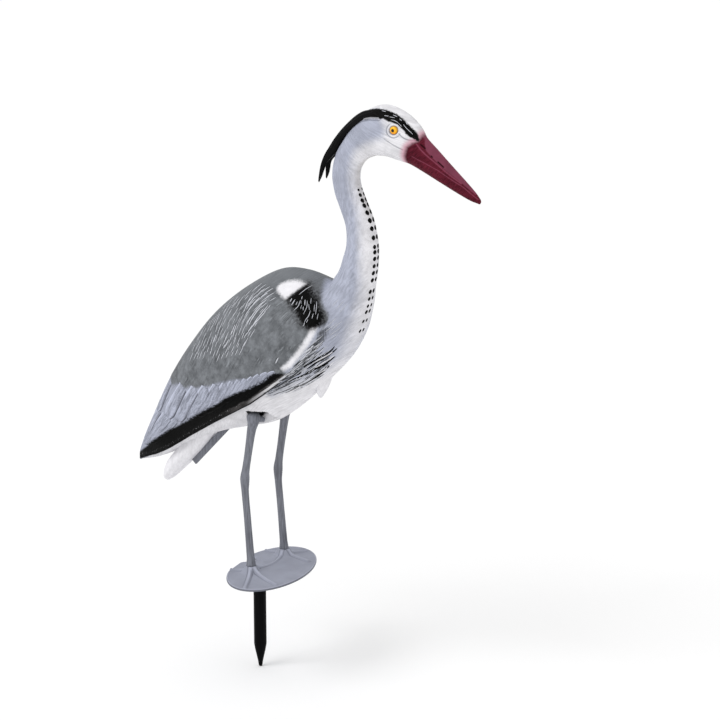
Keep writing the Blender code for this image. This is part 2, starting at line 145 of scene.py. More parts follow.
BILL_AREA = (
    (264, 642), (260, 632), (254, 629.5), (247.5, 624), (244.5, 617), (242, 609.5), (241, 600), (240, 585),
    (360, 530),
    (370, 560), (275, 660),
)
BROW_AREA = (
    (182, 663.5), (190, 666.2), (198, 667.8), (209, 668), (217, 667), (228, 663.5), (237, 659),
    (244.5, 653.5), (252, 647), (257.5, 641.5),
    (261.5, 634), (261, 631), (255.5, 634), (249.5, 637.5), (244, 643), (239, 647.5), (233.5, 651.5),
    (227.5, 653.5), (221.5, 654.5), (214, 657.5), (206, 656.5), (196, 656), (182, 652),
)
UPPER_BILL = ((266, 634), (271.5, 620.5), (280, 612.5), (290, 604.5), (301.5, 596), (321.5, 583),
    (341, 569))
BILL_CREASE = ((252.5, 611.5), (261.5, 607.5), (270, 604.5), (278.5, 601), (290.5, 596), (305.5, 587.5),
    (323.5, 578.5), (344.5, 563.5))
BILL_RIDGE = ((259, 628), (264, 622), (271, 616), (279.5, 610), (290, 602.8), (301.5, 594.5), (321.5, 582))
NOSTRILS = (((264, 627.5), (270, 623), 0.9), ((288.5, 607.2), (296.5, 601.2), 0.8),
    ((279, 614.2), (280.8, 612.6), 0.7))
FACE_LINE = ((217, 632), (222, 629.5), (228, 626), (236, 622), (242, 619))
LORE_LINE = ((237.5, 640.5), (241, 637), (245, 634.5), (250, 632.8), (258, 632.5))
CREST_GROOVE = ((209, 655), (193.5, 654), (179.5, 650.5), (166.5, 643.5), (154.5, 633.5))
CREST_EDGE = ((207, 657.5), (194.5, 656.5), (181, 653), (169.5, 647), (157, 638))
NECK_DOTS = (
    (166, 556, 0.7), (169, 549.5, 1.0), (172.5, 542.5, 1.2), (176, 536, 1.25), (180, 527, 1.3),
    (184, 517, 1.4),
    (187.5, 506.5, 1.35), (189.5, 494.5, 1.35), (191.5, 482.5, 1.2), (191, 475.5, 1.3), (191.5, 466.5, 1.3),
    (191, 456.5, 1.2), (189.5, 447, 1.3), (188, 437, 1.3), (184.5, 421, 1.3), (182.5, 411, 1.1),
    (180.5, 401, 1.0),
    (178, 392.5, 1.2), (174, 379, 1.0), (169, 365, 1.1),
)
DOT_OFFSET = 4.2

# How the plumes run in side view: x, z, and the run of x for each millimetre of z
FLOW = (
    (60, 412, 1.6), (45, 405, 1.1), (35, 393, 0.75), (24, 378, 0.35), (21, 362, 0.2), (55, 390, 0.7),
    (60, 370, 0.6),
    (-33, 366, 0.1), (-1, 338, 0.5), (-53, 323, 0.28), (-94, 294, 0.54), (-109, 272, 0.55), (6, 358, 0.34),
    (-26, 340, 0.2), (-73, 302, 0.32), (-60, 291, 0.62), (77, 340, 0.72), (67, 329, 0.3), (101, 364, 0.5),
    (46, 337, 0.65), (-120, 235, 0.75), (-90, 235, 0.9), (-48, 245, 0.9), (-10, 262, 0.8), (20, 275, 0.75),
    (-160, 180, 0.93), (90, 330, 0.8), (150, 380, 0.9), (130, 335, 1.15), (110, 310, 1.2), (160, 420, 0.5),
    (160, 500, 0.0), (145, 570, 0.0), (160, 610, -0.6), (200, 640, -3.0), (80, 285, 2.0), (100, 296, 1.7),
    (60, 268, 1.8),
)

# Wing feathers: root, middle and tip in side view, half width
SECONDARIES = (
    ((-124, 262), (-139, 236), (-153, 208), 11.5), ((-84, 263), (-103, 236.5), (-124.5, 206), 10.5),
    ((-58, 265.5), (-80.5, 237), (-103.5, 205.5), 9.6), ((-36, 271), (-59, 242), (-84, 211.5), 9.6),
    ((-16, 278), (-38.5, 248.5), (-64, 221), 8.2), ((-1, 283), (-23.5, 252.5), (-48.5, 230.5), 7.0),
    ((12, 288), (-8.5, 260), (-30.5, 241.5), 6.3), ((23.5, 292), (7.5, 270), (-10.5, 253.5), 5.8),
    ((34, 295), (22.5, 281), (7.5, 265.5), 5.0), ((45, 299), (35.5, 289.5), (23, 274), 4.8),
    ((56, 303.5), (48, 297), (37.5, 282), 4.6), ((68, 307.5), (60, 303), (51.5, 290.5), 4.2),
    ((79, 310.5), (71.5, 307), (64.5, 298.5), 3.8),
)
PRIMARIES = (
    ((-140, 216), (-163, 190), (-188, 153), 7.6), ((-126, 212), (-150.5, 185.5), (-183.5, 150.5), 6.4),
    ((-116, 210), (-143.5, 183.5), (-177, 151.5), 5.6), ((-104, 209), (-132, 183.5), (-168, 156.5), 5.6),
)

# Breast: black hanging plumes and the light lines between them, each a line in side view and its greatest
# half width
BREAST_LINES = (
    (((152, 351.5), (149, 347), (145, 342), (139, 337.5), (130.5, 332), (121.5, 325.5), (110.5, 318)),
    1.15),
    (((153, 348), (149.5, 343.5), (143.5, 337.5), (137, 332), (130.5, 328), (120, 319.5), (112.5, 314)),
    1.05),
    (((108.5, 311.5), (104, 308), (100, 305.5)), 0.8),
    (((148.5, 336), (143, 330), (137, 324.5), (130, 319), (122, 315), (115.5, 310), (103, 303),
    (95.5, 299.5),
      (86.5, 293)), 1.3),
    (((138.5, 321.5), (134, 316), (127.5, 310.5), (120.5, 303), (112.5, 297), (104.5, 291)), 1.0),
    (((104, 291), (100.5, 289.5), (95, 287.5), (88.5, 284)), 0.5),
    (((146, 325), (142.5, 320), (136, 312.5), (130, 305.5), (123, 298)), 0.85),
    (((136.5, 311.5), (130.5, 304.5), (120.5, 294)), 0.7), (((116, 283.5), (113, 277.5), (109.5, 272)),
    1.2),
    (((117, 288), (114.5, 285)), 0.8),
)
BREAST_LIGHTS = (
    (((148.5, 343), (144.5, 339), (139, 335), (132, 330.5), (123.5, 324.5)), 0.7),
    (((147, 336), (141.5, 330.5), (136.5, 327), (130, 321.5), (122, 316.5)), 0.7),
    (((146.5, 326), (142, 319), (135.5, 311), (128.5, 303), (119.5, 293.5)), 0.8),
    (((148, 327.5), (144, 321.5), (135.5, 310.5), (126, 299.5), (117, 289)), 0.7),
    (((142, 324.5), (135, 317), (126.5, 309.5), (117, 303)), 0.5),
)
BREAST_AREA = ((146, 372), (148, 350), (145, 332), (128, 306), (108, 289), (84, 280), (66, 278), (86, 298),
    (114, 330), (136, 362))
BREAST_HAIRS, BREAST_CLEAR = 95, 15
# Dark dashes along the wing's leading edge: painted shadow of the wing on the breast, broken into feathery
# dashes.
LEAD_SHADE_DASHES = (
    ((148.5, 376.5), (141, 370.5)), ((146.5, 369.5), (139.5, 363.5)), ((143, 362), (136.5, 356.5)),
    ((136.5, 356), (130.5, 347)),
    ((132, 343.5), (121.5, 334.5)), ((144.5, 388), (139.5, 380.5)), ((139.5, 359), (134, 352)),
    ((126.5, 336.5), (119.5, 330.5)),
    ((110.5, 317.5), (102, 310.5)), ((106, 313.5), (95, 303.5)), ((96, 304.5), (85, 294)),
    ((89, 297.5), (79, 288)),
    ((81, 291), (70, 282)),
)
NECK_STROKES = (
    ((142, 374), (151.5, 384.5)), ((143.5, 370), (158.5, 385)), ((146.5, 363.5), (161.5, 378)),
    ((149, 361), (158.5, 369.5)),
    ((147, 379), (157, 391)), ((150, 372), (163, 387)), ((154, 400), (163, 413)), ((149, 404), (157, 416)),
    ((158, 396), (167, 409)),
)
BROW_STROKES = (
    ((239, 654), (244.5, 648.5), (250.5, 643.5), (255.5, 638.5)), ((242.5, 655), (245.5, 651.5)),
    ((236.5, 652), (240, 649.5)),
    ((224, 663), (231.5, 660.5)), ((220, 660.5), (229, 659.5)),
    ((227.5, 656.5), (232.5, 655), (237.5, 651)),
    ((207, 666.8), (214.5, 665.8)), ((233.5, 659), (238, 656)), ((240.5, 646.5), (244, 644)),
    ((222, 657), (229, 656.5), (234, 654), (240, 648.5)), ((213, 661.5), (221, 661)),
)
BLACK_PATCH_STROKES = (
    (((96.5, 408), (95.5, 403)), 1.12), (((104.5, 407), (105.5, 404), (105, 401), (102.5, 398)), 0.77),
    (((104, 412.5), (105, 410)), 0.63),
    (((110.5, 409), (113.5, 404.5)), 0.77), (((114.5, 407.5), (117, 404), (118, 400), (117.5, 395.5)),
    0.56),
    (((124.5, 397.5), (125, 393), (123.5, 389.5), (122.5, 386.5)), 0.7),
    (((122.5, 384.5), (122, 381)), 0.63),
    (((129.5, 395), (130, 390.5)), 0.56), (((117, 411), (120, 406.5)), 0.42),
    (((126, 404.5), (129, 398.5)), 0.42),
    (((126.5, 407), (130, 401.5), (132, 396)), 0.49), (((118.5, 405), (122.5, 400)), 0.42),
    (((105.5, 422.5), (102.5, 420), (99, 415)), 0.7), (((113, 402), (114.5, 399)), 0.63),
    (((125.5, 388.5), (125, 385)), 0.49),
    (((91, 409), (91, 406)), 0.98), (((101.5, 406.5), (101.5, 403.5)), 0.63),
    (((109.5, 403.5), (110.5, 400)), 0.42),
    (((135.5, 395), (136, 389.5)), 0.42), (((105, 408.5), (107.5, 405.5)), 0.42),
)
LONG_PLUMES = (
    ((26.5, 409), (22.5, 399), (20, 387.5), (21, 380.5)), ((57, 414.5), (44, 405.5), (33, 393.5),
    (24.5, 379), (22, 364)),
    ((58, 408.5), (48.5, 398), (40, 386), (32, 371), (29, 360.5)),
    ((66, 407.5), (61, 394.5), (52.5, 382), (40.5, 367.5), (30.5, 353), (27.5, 344)),
    ((44, 415.5), (37.5, 409.5), (33, 402)), ((52.5, 399.5), (44.5, 388.5), (37.5, 375.5), (34, 366)),
    ((87, 334.5), (80.5, 323.5)), ((12.5, 369), (10, 357), (8.5, 347)),
    ((50, 412), (39, 402), (29, 388), (25, 372)),
    ((62, 402), (54, 389), (45, 375), (38, 362)), ((36, 409), (28, 398), (23, 384)), ((3, 346), (-5, 331)),
    ((9.5, 366.5), (3.5, 349.5)), ((-33, 370), (-34, 360)), ((-25, 346.5), (-27.5, 333.5)),
)
PLUME_AREA = ((70, 412), (40, 424), (-20, 392), (-70, 340), (-75, 310), (-40, 322), (0, 325), (30, 340),
    (50, 370))
SHORT_PLUMES = 150

# Under the tail, and the tip of the breast plumes: x, z, half depth, half width
UNDERTAIL = (
    (-78, 190, 10, 13), (-100, 167, 12.5, 15), (-123.5, 143, 13.5, 15.5), (-141.5, 123.5, 12, 14),
    (-151.5, 110, 9, 10.5),
    (-157.5, 101.5, 5, 5),
)
BREAST_TUFT = ((112, 305, 10, 20), (107.5, 285, 9, 15), (104.5, 271, 6, 9), (103.5, 262, 2, 3))
RIB_TOP, RIB_END, RIB_DEPTH, RIB_THICK = (-52, 194), (-109, 133.5), 9.5, 3.6

# Legs
LEG_SPREAD, HIP, HIP_TOP, KNEE_X, RIGHT_KNEE_Z, LEFT_KNEE_Z = 41, (20.5, 231), 241, 4.8, 139, 131
ANKLE, LEG_RADIUS, KNEE_RADIUS, HIP_RADIUS, INNER_LOBE = (14.2, 16), 5.3, 6.8, 9.0, 22
HIP_KNOB_TOP, SOCKET_X, SOCKET_Y = 238.8, (15, 43), (19, 54)

# Crest: outer edge x, z, inner edge x, z, offset of each edge, thickness
CREST_BAND = (
    (212, 664.5, 214, 658.5, 12.5, 19, 2.2), (205, 666.2, 207, 657.8, 10.5, 19, 3),
    (194.3, 666.2, 199, 658.6, 9, 18.5, 4),
    (184.5, 664.2, 190, 655.8, 8.5, 18.2, 4.6), (174, 660.6, 180, 651.8, 8, 17.5, 5.4),
    (159.6, 650.2, 165.5, 642.2, 7.2, 15.5, 6.4),
    (142.5, 634.2, 151, 628.6, 5.6, 12, 7.6), (129.7, 620.1, 140.5, 615, 4, 9, 8.8),
    (120.5, 607.7, 133.5, 604, 2.9, 6.6, 9.6),
    (114.5, 599, 127, 597, 3, 5.6, 8.8), (110.8, 591.5, 120, 590, 3.4, 5.2, 7),
    (108.6, 585, 116.2, 584, 4.2, 5.4, 5.6),
    (106.9, 576.5, 113.6, 576, 5.2, 6, 4.6), (105.8, 568, 110.8, 568, 6, 6.6, 3.4),
    (105.2, 561.5, 107.6, 561.5, 6.6, 6.8, 1.6),
)
CREST_TIP_DROP, PLUME_SHORT_LIFT, PLUME_SHORT_SHIFT, PLUME_HANG_Z = 2.0, 3.0, 3.2, 606

EYE, EYE_RADIUS, EYE_DEPTH, EYE_SEAT = (230, 644.3), 5.0, 4.0, 21.5
LID_RINGS = ((6.6, 1.6, 0.8), (9.3, 1.5, -0.6), (11.2, 1.3, 0.35))
EYE_POCKET = (5.1, 6.2, 2.2)
COVERT_STEP = 0.8
EYE_PROFILE = ((-4.0, 0.9), (-2.0, 1.0), (0.4, 1.0), (1.0, 0.95), (1.5, 0.86), (1.9, 0.74), (2.2, 0.6),
    (2.45, 0.43),
               (2.6, 0.28), (2.7, 0.14))

# Foot plate and spike
PLATE_CENTRE, PLATE_HALF, PLATE_TURN, PLATE_BACK = (25, -6), (54, 92), math.radians(8.5), 49.5
PLATE_WALL, PLATE_RISE, ANKLE_TOP = 2.8, 5.0, 15.0
TOES = (
    ((14.2, -41), (38.5, -92), 4.0), ((14.2, -41), (68, -60), 4.2), ((14.2, -41), (-20, -44), 3.6),
    ((14.2, 41), (55, 40.5), 4.2), ((14.2, 41), (30, 76), 3.8), ((14.2, 41), (-20, 46), 3.6),
)
WEBS = (((14.2, -41), (20, 11), 3.4), ((14.2, 41), (20, 11), 3.4))
NOTCH_AT, NOTCH_HALF, NOTCH_DEPTH = 18.5, 17.5, 16.5
SPIKE_RADIUS, SPIKE_LENGTH, SPIKE_TAPER, SPIKE_TIP_RADIUS = 8.9, 152, 35, 2.6

SUN_PLACE, SUN_POWER, SUN_SPREAD_DEGREES = (-1.5, -2.2, 2.6), 0.75, 28
CAMERA_PLACE = (1.93160357, -2.82569975, 1.27906751)
CAMERA_LOOK = (-0.50939109, 0.81519615, -0.27563736)
CAMERA_LENS = 130.0


# Shape helpers

def ramp(value, low, high):
    """0 at low, 1 at high, with soft ends."""
    t = np.clip((np.asarray(value, float) - low) / (high - low), 0, 1)
    return t * t * (3 - 2 * t)


def bell(value, middle, width):
    """1 at the middle, falling to 0 at a width either side."""
    return 1 - ramp(np.abs(np.asarray(value, float) - middle), 0, width)


def line_gap(points, line, closed=False):
    """Distance of each point from a broken line."""
    line = np.asarray(line, float)
    ends = np.vstack([line, line[:1]]) if closed else line
    best = np.full(len(points), 1e9)
    for a, b in zip(ends, ends[1:]):
        way = b - a
        share = np.clip(((points - a) @ way) / max(way @ way, 1e-9), 0, 1)
        best = np.minimum(best, np.hypot(*(points - a - share[:, None] * way).T))
    return best


def area_depth(points, outline):
    """How deep each point lies inside an outline; below 0 outside it."""
    ring = np.asarray(outline, float)
    inside = np.zeros(len(points), bool)
    for a, b in zip(ring, np.roll(ring, -1, axis=0)):
        crosses = (a[1] > points[:, 1]) != (b[1] > points[:, 1])
        with np.errstate(divide="ignore", invalid="ignore"):
            at = a[0] + (points[:, 1] - a[1]) * (b[0] - a[0]) / (b[1] - a[1])
        inside ^= crosses & (points[:, 0] < at)
    return np.where(inside, 1, -1) * line_gap(points, ring, closed=True)


def along_line(line, count):
    """Points at even steps along a smooth curve through a short list of points."""
    line = np.asarray(line, float)
    if len(line) == 2:
        return line[0] + (line[1] - line[0]) * np.linspace(0, 1, count)[:, None]
    places = np.concatenate([[0], np.cumsum(np.hypot(*np.diff(line, axis=0).T))])
    return hermite_at(line, places, np.linspace(0, places[-1], count))


def hermite_at(stations, places, wanted):
    """Rows of the stations' values at the wanted places, along a smooth curve."""
    stations = np.asarray(stations, float)
    last = len(stations) - 1
    slopes = np.empty_like(stations)
    for i in range(last + 1):
        low, high = max(i - 1, 0), min(i + 1, last)
        slopes[i] = (stations[high] - stations[low]) / (places[high] - places[low])
    i = np.clip(np.searchsorted(places, wanted, side="right") - 1, 0, last - 1)
    span = (places[i + 1] - places[i])[:, None]
    t = (wanted - places[i])[:, None] / span
    keep, leave, arrive = 2 * t ** 3 - 3 * t ** 2 + 1, t ** 3 - 2 * t ** 2 + t, t ** 3 - t ** 2
    return keep * stations[i] + leave * span * slopes[i] + (1 - keep) * stations[i
        + 1] + arrive * span * slopes[i + 1]


def section_places(stations):
    """How far along the body each section's middle is."""
    s = np.asarray(stations, float)
    middles = (s[:, 0:2] + s[:, 2:4]) / 2
    return np.concatenate([[0], np.cumsum(np.hypot(*np.diff(middles, axis=0).T))])


def edge_share(back, belly):
    """Where the wing's edge crosses each section, as a share of it from the back, or none."""
    line = belly - back
    found = np.full(len(back), np.nan)
    for a, b in zip(WING_EDGE, WING_EDGE[1:]):
        a, way = np.array(a, float), np.subtract(b, a).astype(float)
        det = line[:, 0] * -way[1] + line[:, 1] * way[0]
        det = np.where(np.abs(det) < 1e-9, np.nan, det)
        rhs = a - back
        share = (rhs[:, 0] * -way[1] + rhs[:, 1] * way[0]) / det
        along = (line[:, 0] * rhs[:, 1] - line[:, 1] * rhs[:, 0]) / det
        good = (along >= 0) & (along <= 1) & (share >= 0) & (share <= 1.1)
        found = np.where(good & ~(found > share), share, found)
    return found


def body_rows(sections, proud_step):
    """Rows of points round the body, from the back down the left side and up the right."""
    back, belly, width = sections[:, 0:2], sections[:, 2:4], sections[:, 4:5]
    middle, half = (back + belly) / 2, (belly - back) / 2
    unit = half / np.hypot(*half.T)[:, None]
    share = edge_share(back, belly)
    edge_z = back[:, 1] + share * (belly - back)[:, 1]
    proud = proud_step * ramp(middle[:, 0], *WING_TAIL_FADE) * (1 - ramp(np.nan_to_num(edge_z),
        *WING_SHOULDER_FADE))
    proud = np.where(np.isnan(share), 0, proud)[:, None]
    share = np.clip(np.nan_to_num(share), *WING_SHARE)
    edge = np.arccos(1 - 2 * share)[:, None]
    ridge = 1 + RIDGE * ramp(middle[:, 0], *RIDGE_FROM_X) * (1 - ramp(back[:, 1], *RIDGE_TO_Z))
    up = np.arange(ABOVE_EDGE + 1)[None] / ABOVE_EDGE
    on = np.arange(1, ON_EDGE + 1)[None] / ON_EDGE
    down = np.arange(1, BELOW_EDGE + 1)[None] / BELOW_EDGE
    after = edge + EDGE_STEEPNESS
    angle = np.hstack([edge * up, edge + EDGE_STEEPNESS * on, after + (math.pi - after) * down])
    lift = proud * np.hstack([ramp(up, 0.1, 1.0), 1 - ramp(on, 0, 1), np.zeros_like(down)])
    sine = np.clip(np.sin(angle), 0, 1)
    reach = width * np.where(angle < math.pi / 2, sine ** ridge[:, None], sine) + lift * sine
    centre = middle[:, None] - half[:, None] * np.cos(angle)[..., None] - unit[:,
        None] * (lift * np.cos(angle))[..., None]
    left = np.stack([centre[..., 0], reach, centre[..., 1]], axis=-1)
    right = left[:, -2:0:-1] * (1, -1, 1)
    return np.concatenate([left, right], axis=1), angle / math.pi


def row_normals(rows):
    """Outward normals of a closed grid of points."""
    onward = np.gradient(rows, axis=0)
    around = np.roll(rows, -1, axis=1) - np.roll(rows, 1, axis=1)
    out = np.cross(onward, around)
    return out / np.maximum(np.linalg.norm(out, axis=-1, keepdims=True), 1e-9)


def lone():
    """Leaves nothing selected before a new primitive."""
    bpy.ops.object.select_all(action="DESELECT")


def woven(name, rows, tip_start, tip_end, marks=None, weave=None):
    """A closed skin: a UV sphere whose rings are drawn out to the rows, its poles to the two tips.

    marks are named values for each point, and weave the points' own pattern coordinates."""
    rows = np.asarray(rows, float)
    count, sides = rows.shape[:2]
    lone()
    bpy.ops.mesh.primitive_uv_sphere_add(segments=sides, ring_count=count + 1, radius=1.0)
    piece = bpy.context.object
    piece.name = piece.data.name = name
    mesh = piece.data
    ball = np.empty(len(mesh.vertices) * 3)
    mesh.vertices.foreach_get("co", ball)
    ball = ball.reshape(-1, 3)
    ring = np.rint(np.arccos(np.clip(ball[:, 2], -1, 1)) / math.pi * (count + 1)).astype(int)
    side = np.rint(np.arctan2(ball[:, 1], ball[:, 0]) / (2 * math.pi) * sides).astype(int) % sides
    grid = np.concatenate([np.broadcast_to(tip_start, (1, sides, 3)), rows,
        np.broadcast_to(tip_end, (1, sides, 3))])
    mesh.vertices.foreach_set("co", (grid[ring, side] * MM).ravel())

    def spread(values):
        values = np.asarray(values, float)
        ends = values.mean(axis=1, keepdims=True)
        full = np.concatenate([np.broadcast_to(ends[:1], values[:1].shape), values,
            np.broadcast_to(ends[-1:], values[:1].shape)])
        return full[ring, side]

    for mark, values in (marks or {}).items():
        mesh.attributes.new(mark, "FLOAT", "POINT").data.foreach_set("value",
            spread(values).astype(np.float32))
    if weave is not None:
        corners = np.empty(len(mesh.loops), int)
        mesh.loops.foreach_get("vertex_index", corners)
        layer = mesh.uv_layers.active or mesh.uv_layers.new(name="weave")
        layer.name = "weave"
        layer.data.foreach_set("uv", spread(weave)[corners].astype(np.float32).ravel())
    mesh.update()
    turn_outward(piece)
    return piece


def turn_outward(piece):
    """Recalculates a closed shell's faces so that they point outwards, and shades it smooth."""
    bpy.context.view_layer.objects.active = piece
    piece.select_set(True)
    bpy.ops.object.mode_set(mode="EDIT")
    bpy.ops.mesh.select_all(action="SELECT")
    bpy.ops.mesh.normals_make_consistent(inside=False)
    bpy.ops.object.mode_set(mode="OBJECT")
    bpy.ops.object.shade_smooth()


def woven_many(name, all_rows, weaves=None, depth=None):
    """Many small closed skins with the same count of points, copied from one drawn-out sphere, as one
    piece."""
    count, sides = all_rows[0].shape[0] - 2, all_rows[0].shape[1]
    pattern = woven(name + "_pattern", all_rows[0][1:-1], all_rows[0][0].mean(0), all_rows[0][-1].mean(0))
    mesh = pattern.data
    order = np.empty(len(mesh.vertices) * 3)
    mesh.vertices.foreach_get("co", order)
    faces = [tuple(f.vertices) for f in mesh.polygons]
    flat = np.concatenate([all_rows[0][0].mean(0)[None], all_rows[0][1:-1].reshape(-1, 3),
        all_rows[0][-1].mean(0)[None]])
    nearest = [int(np.argmin(((flat * MM - p) ** 2).sum(1))) for p in order.reshape(-1, 3)]
    bpy.data.objects.remove(pattern)
    points, rings, uv = [], [], []
    for i, rows in enumerate(all_rows):
        own = np.concatenate([rows[0].mean(0)[None], rows[1:-1].reshape(-1, 3), rows[-1].mean(0)[None]])
        points.append(own[nearest] * MM)
        rings += [tuple(v + i * len(nearest) for v in f) for f in faces]
        if weaves is not None:
            w = weaves[i]
            uv.append(np.concatenate([w[0].mean(0)[None], w[1:-1].reshape(-1, 2),
                w[-1].mean(0)[None]])[nearest])
    made = bpy.data.meshes.new(name)
    made.from_pydata(np.concatenate(points).tolist(), [], rings)
    if weaves is not None:
        uv = np.concatenate(uv)
        corners = np.empty(len(made.loops), int)
        made.loops.foreach_get("vertex_index", corners)
        made.uv_layers.new(name="weave").data.foreach_set("uv", uv[corners].astype(np.float32).ravel())
    if depth is not None:
        made.attributes.new("stripe", "FLOAT", "POINT").data.foreach_set("value",
            depth(np.concatenate(points) / MM).astype(np.float32))
    piece = bpy.data.objects.new(name, made)
    bpy.context.scene.collection.objects.link(piece)
    lone()
    turn_outward(piece)
    return piece


def finish_piece(piece, finish, slot, *nodes):
    """Gives a piece its paint and the frame to ride on; the slot argument is not used."""
    piece.data.materials.clear()
    piece.data.materials.append(finish)
    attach(piece, "root")
    if nodes:
        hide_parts(*nodes)


class Skin:
    """The modelled body's surface, to lay feathers and strokes on."""

    def __init__(self, piece):
        mesh = piece.data
        points = np.empty(len(mesh.vertices) * 3)
        mesh.vertices.foreach_get("co", points)
        self.tree = BVHTree.FromPolygons((points.reshape(-1, 3) / MM).tolist(),
            [tuple(f.vertices) for f in mesh.polygons])

    def at(self, x, z, side):
        """The surface point and its outward normal where a level line from that side meets the body."""
        place, normal, _, _ = self.tree.ray_cast(Vector((x, side * 150, z)), Vector((0, -side, 0)))
        if place is None:
            place, normal, _, _ = self.tree.find_nearest(Vector((x, side * 10, z)))
        return np.array(place), np.array(normal)

    def lay(self, flat, heights, side):
        """Points of a grid (rows x columns x 2) in side view, laid on the body at the given heights."""
        made = np.empty(flat.shape[:2] + (3,))
        for i, j in np.ndindex(*flat.shape[:2]):
            place, normal = self.at(flat[i, j, 0], flat[i, j, 1], side)
            made[i, j] = place + normal * heights[i, j]
        return made


def blade(skin, line, half_width, side, rows=7, across=3, height=0.5, sink=0.6, lean=0.0, blunt=0.0,
        shaft=0.0):
    """A thin leaf laid along a line on the body: its rows of points and its own pattern coordinates.

    blunt is the share of its length at the tip that is rounded off; a leaf without it tapers at both ends."""
    middle = along_line(line, rows)
    onward = np.gradient(middle, axis=0)
    onward /= np.hypot(*onward.T)[:, None]
    out = np.stack([-onward[:, 1], onward[:, 0]], axis=1)
    t = np.linspace(0, 1, rows)
    if blunt:
        width = half_width * (0.86 + 0.14 * ramp(t, 0, 0.5)) * np.sqrt(np.clip(1 - (np.clip(t - 1 + blunt,
            0, 1) / blunt) ** 2, 0, 1))
    else:
        width = half_width * np.sin(math.pi * np.clip(t, 0, 1)) ** 0.7
    u = np.linspace(-1, 1, across)
    flat = middle[:, None] + out[:, None] * (u[None, :, None] * width[:, None, None])
    crown = height * (0.45 + 0.55 * (1 - u ** 2))[None] + lean * u[None] + shaft * bell(u, 0, 0.18)[None]
    crown = crown * np.ones((rows, 1))
    top = skin.lay(flat, crown, side)
    low = skin.lay(flat[:, ::-1], np.full((rows, across), -sink), side)
    ring = np.concatenate([top, low], axis=1)
    length = np.concatenate([[0], np.cumsum(np.hypot(*np.diff(middle, axis=0).T))])
    weave = np.stack(np.broadcast_arrays(u[None] + 0 * width[:, None], length[:, None] - length[-1]),
        axis=-1)
    return ring, np.concatenate([weave, weave[:, ::-1]], axis=1)


def flow_slope(points):
    """The run of the plumes at each point of the side view."""
    marks = np.asarray(FLOW, float)
    weight = 1 / (((points[:, None] - marks[None, :, :2]) ** 2).sum(-1) + 60) ** 1.5
    return (weight * marks[:, 2]).sum(1) / weight.sum(1)


def flow_across(points, level=300.0, steps=24, pitch=7.0):
    """A coordinate that stays the same along every plume: its x where it crosses one level."""
    points = np.asarray(points, float)
    low, high = points.min(axis=0) - pitch, points.max(axis=0) + pitch
    across, up = (np.arange(a, b + pitch, pitch) for a, b in zip(low, high))
    spot = np.stack(np.meshgrid(across, up, indexing="ij"), axis=-1).reshape(-1, 2)
    step = (level - spot[:, 1]) / steps
    for _ in range(steps):
        spot[:, 0] += flow_slope(spot) * step
        spot[:, 1] += step
    met = spot[:, 0].reshape(len(across), len(up))
    place = (points - low) / pitch
    i, j = place.astype(int).T
    u, v = (place - np.stack([i, j], axis=1)).T
    return (met[i, j] * (1 - u) + met[i + 1, j] * u) * (1 - v) + (met[i, j + 1] * (1 - u) + met[i + 1,
        j + 1] * u) * v


# Paint helpers

def paint(red, green, blue):
    """A colour from its 0 to 255 screen values."""
    return tuple(c / 12.92 if c <= 0.04045 else ((c + 0.055) / 1.055) ** 2.4 for c in (red / 255,
        green / 255, blue / 255))


def tinted(colour, factor):
    """The colour made lighter or darker, with no channel over 1."""
    return tuple(min(1.0, channel * factor) for channel in colour)


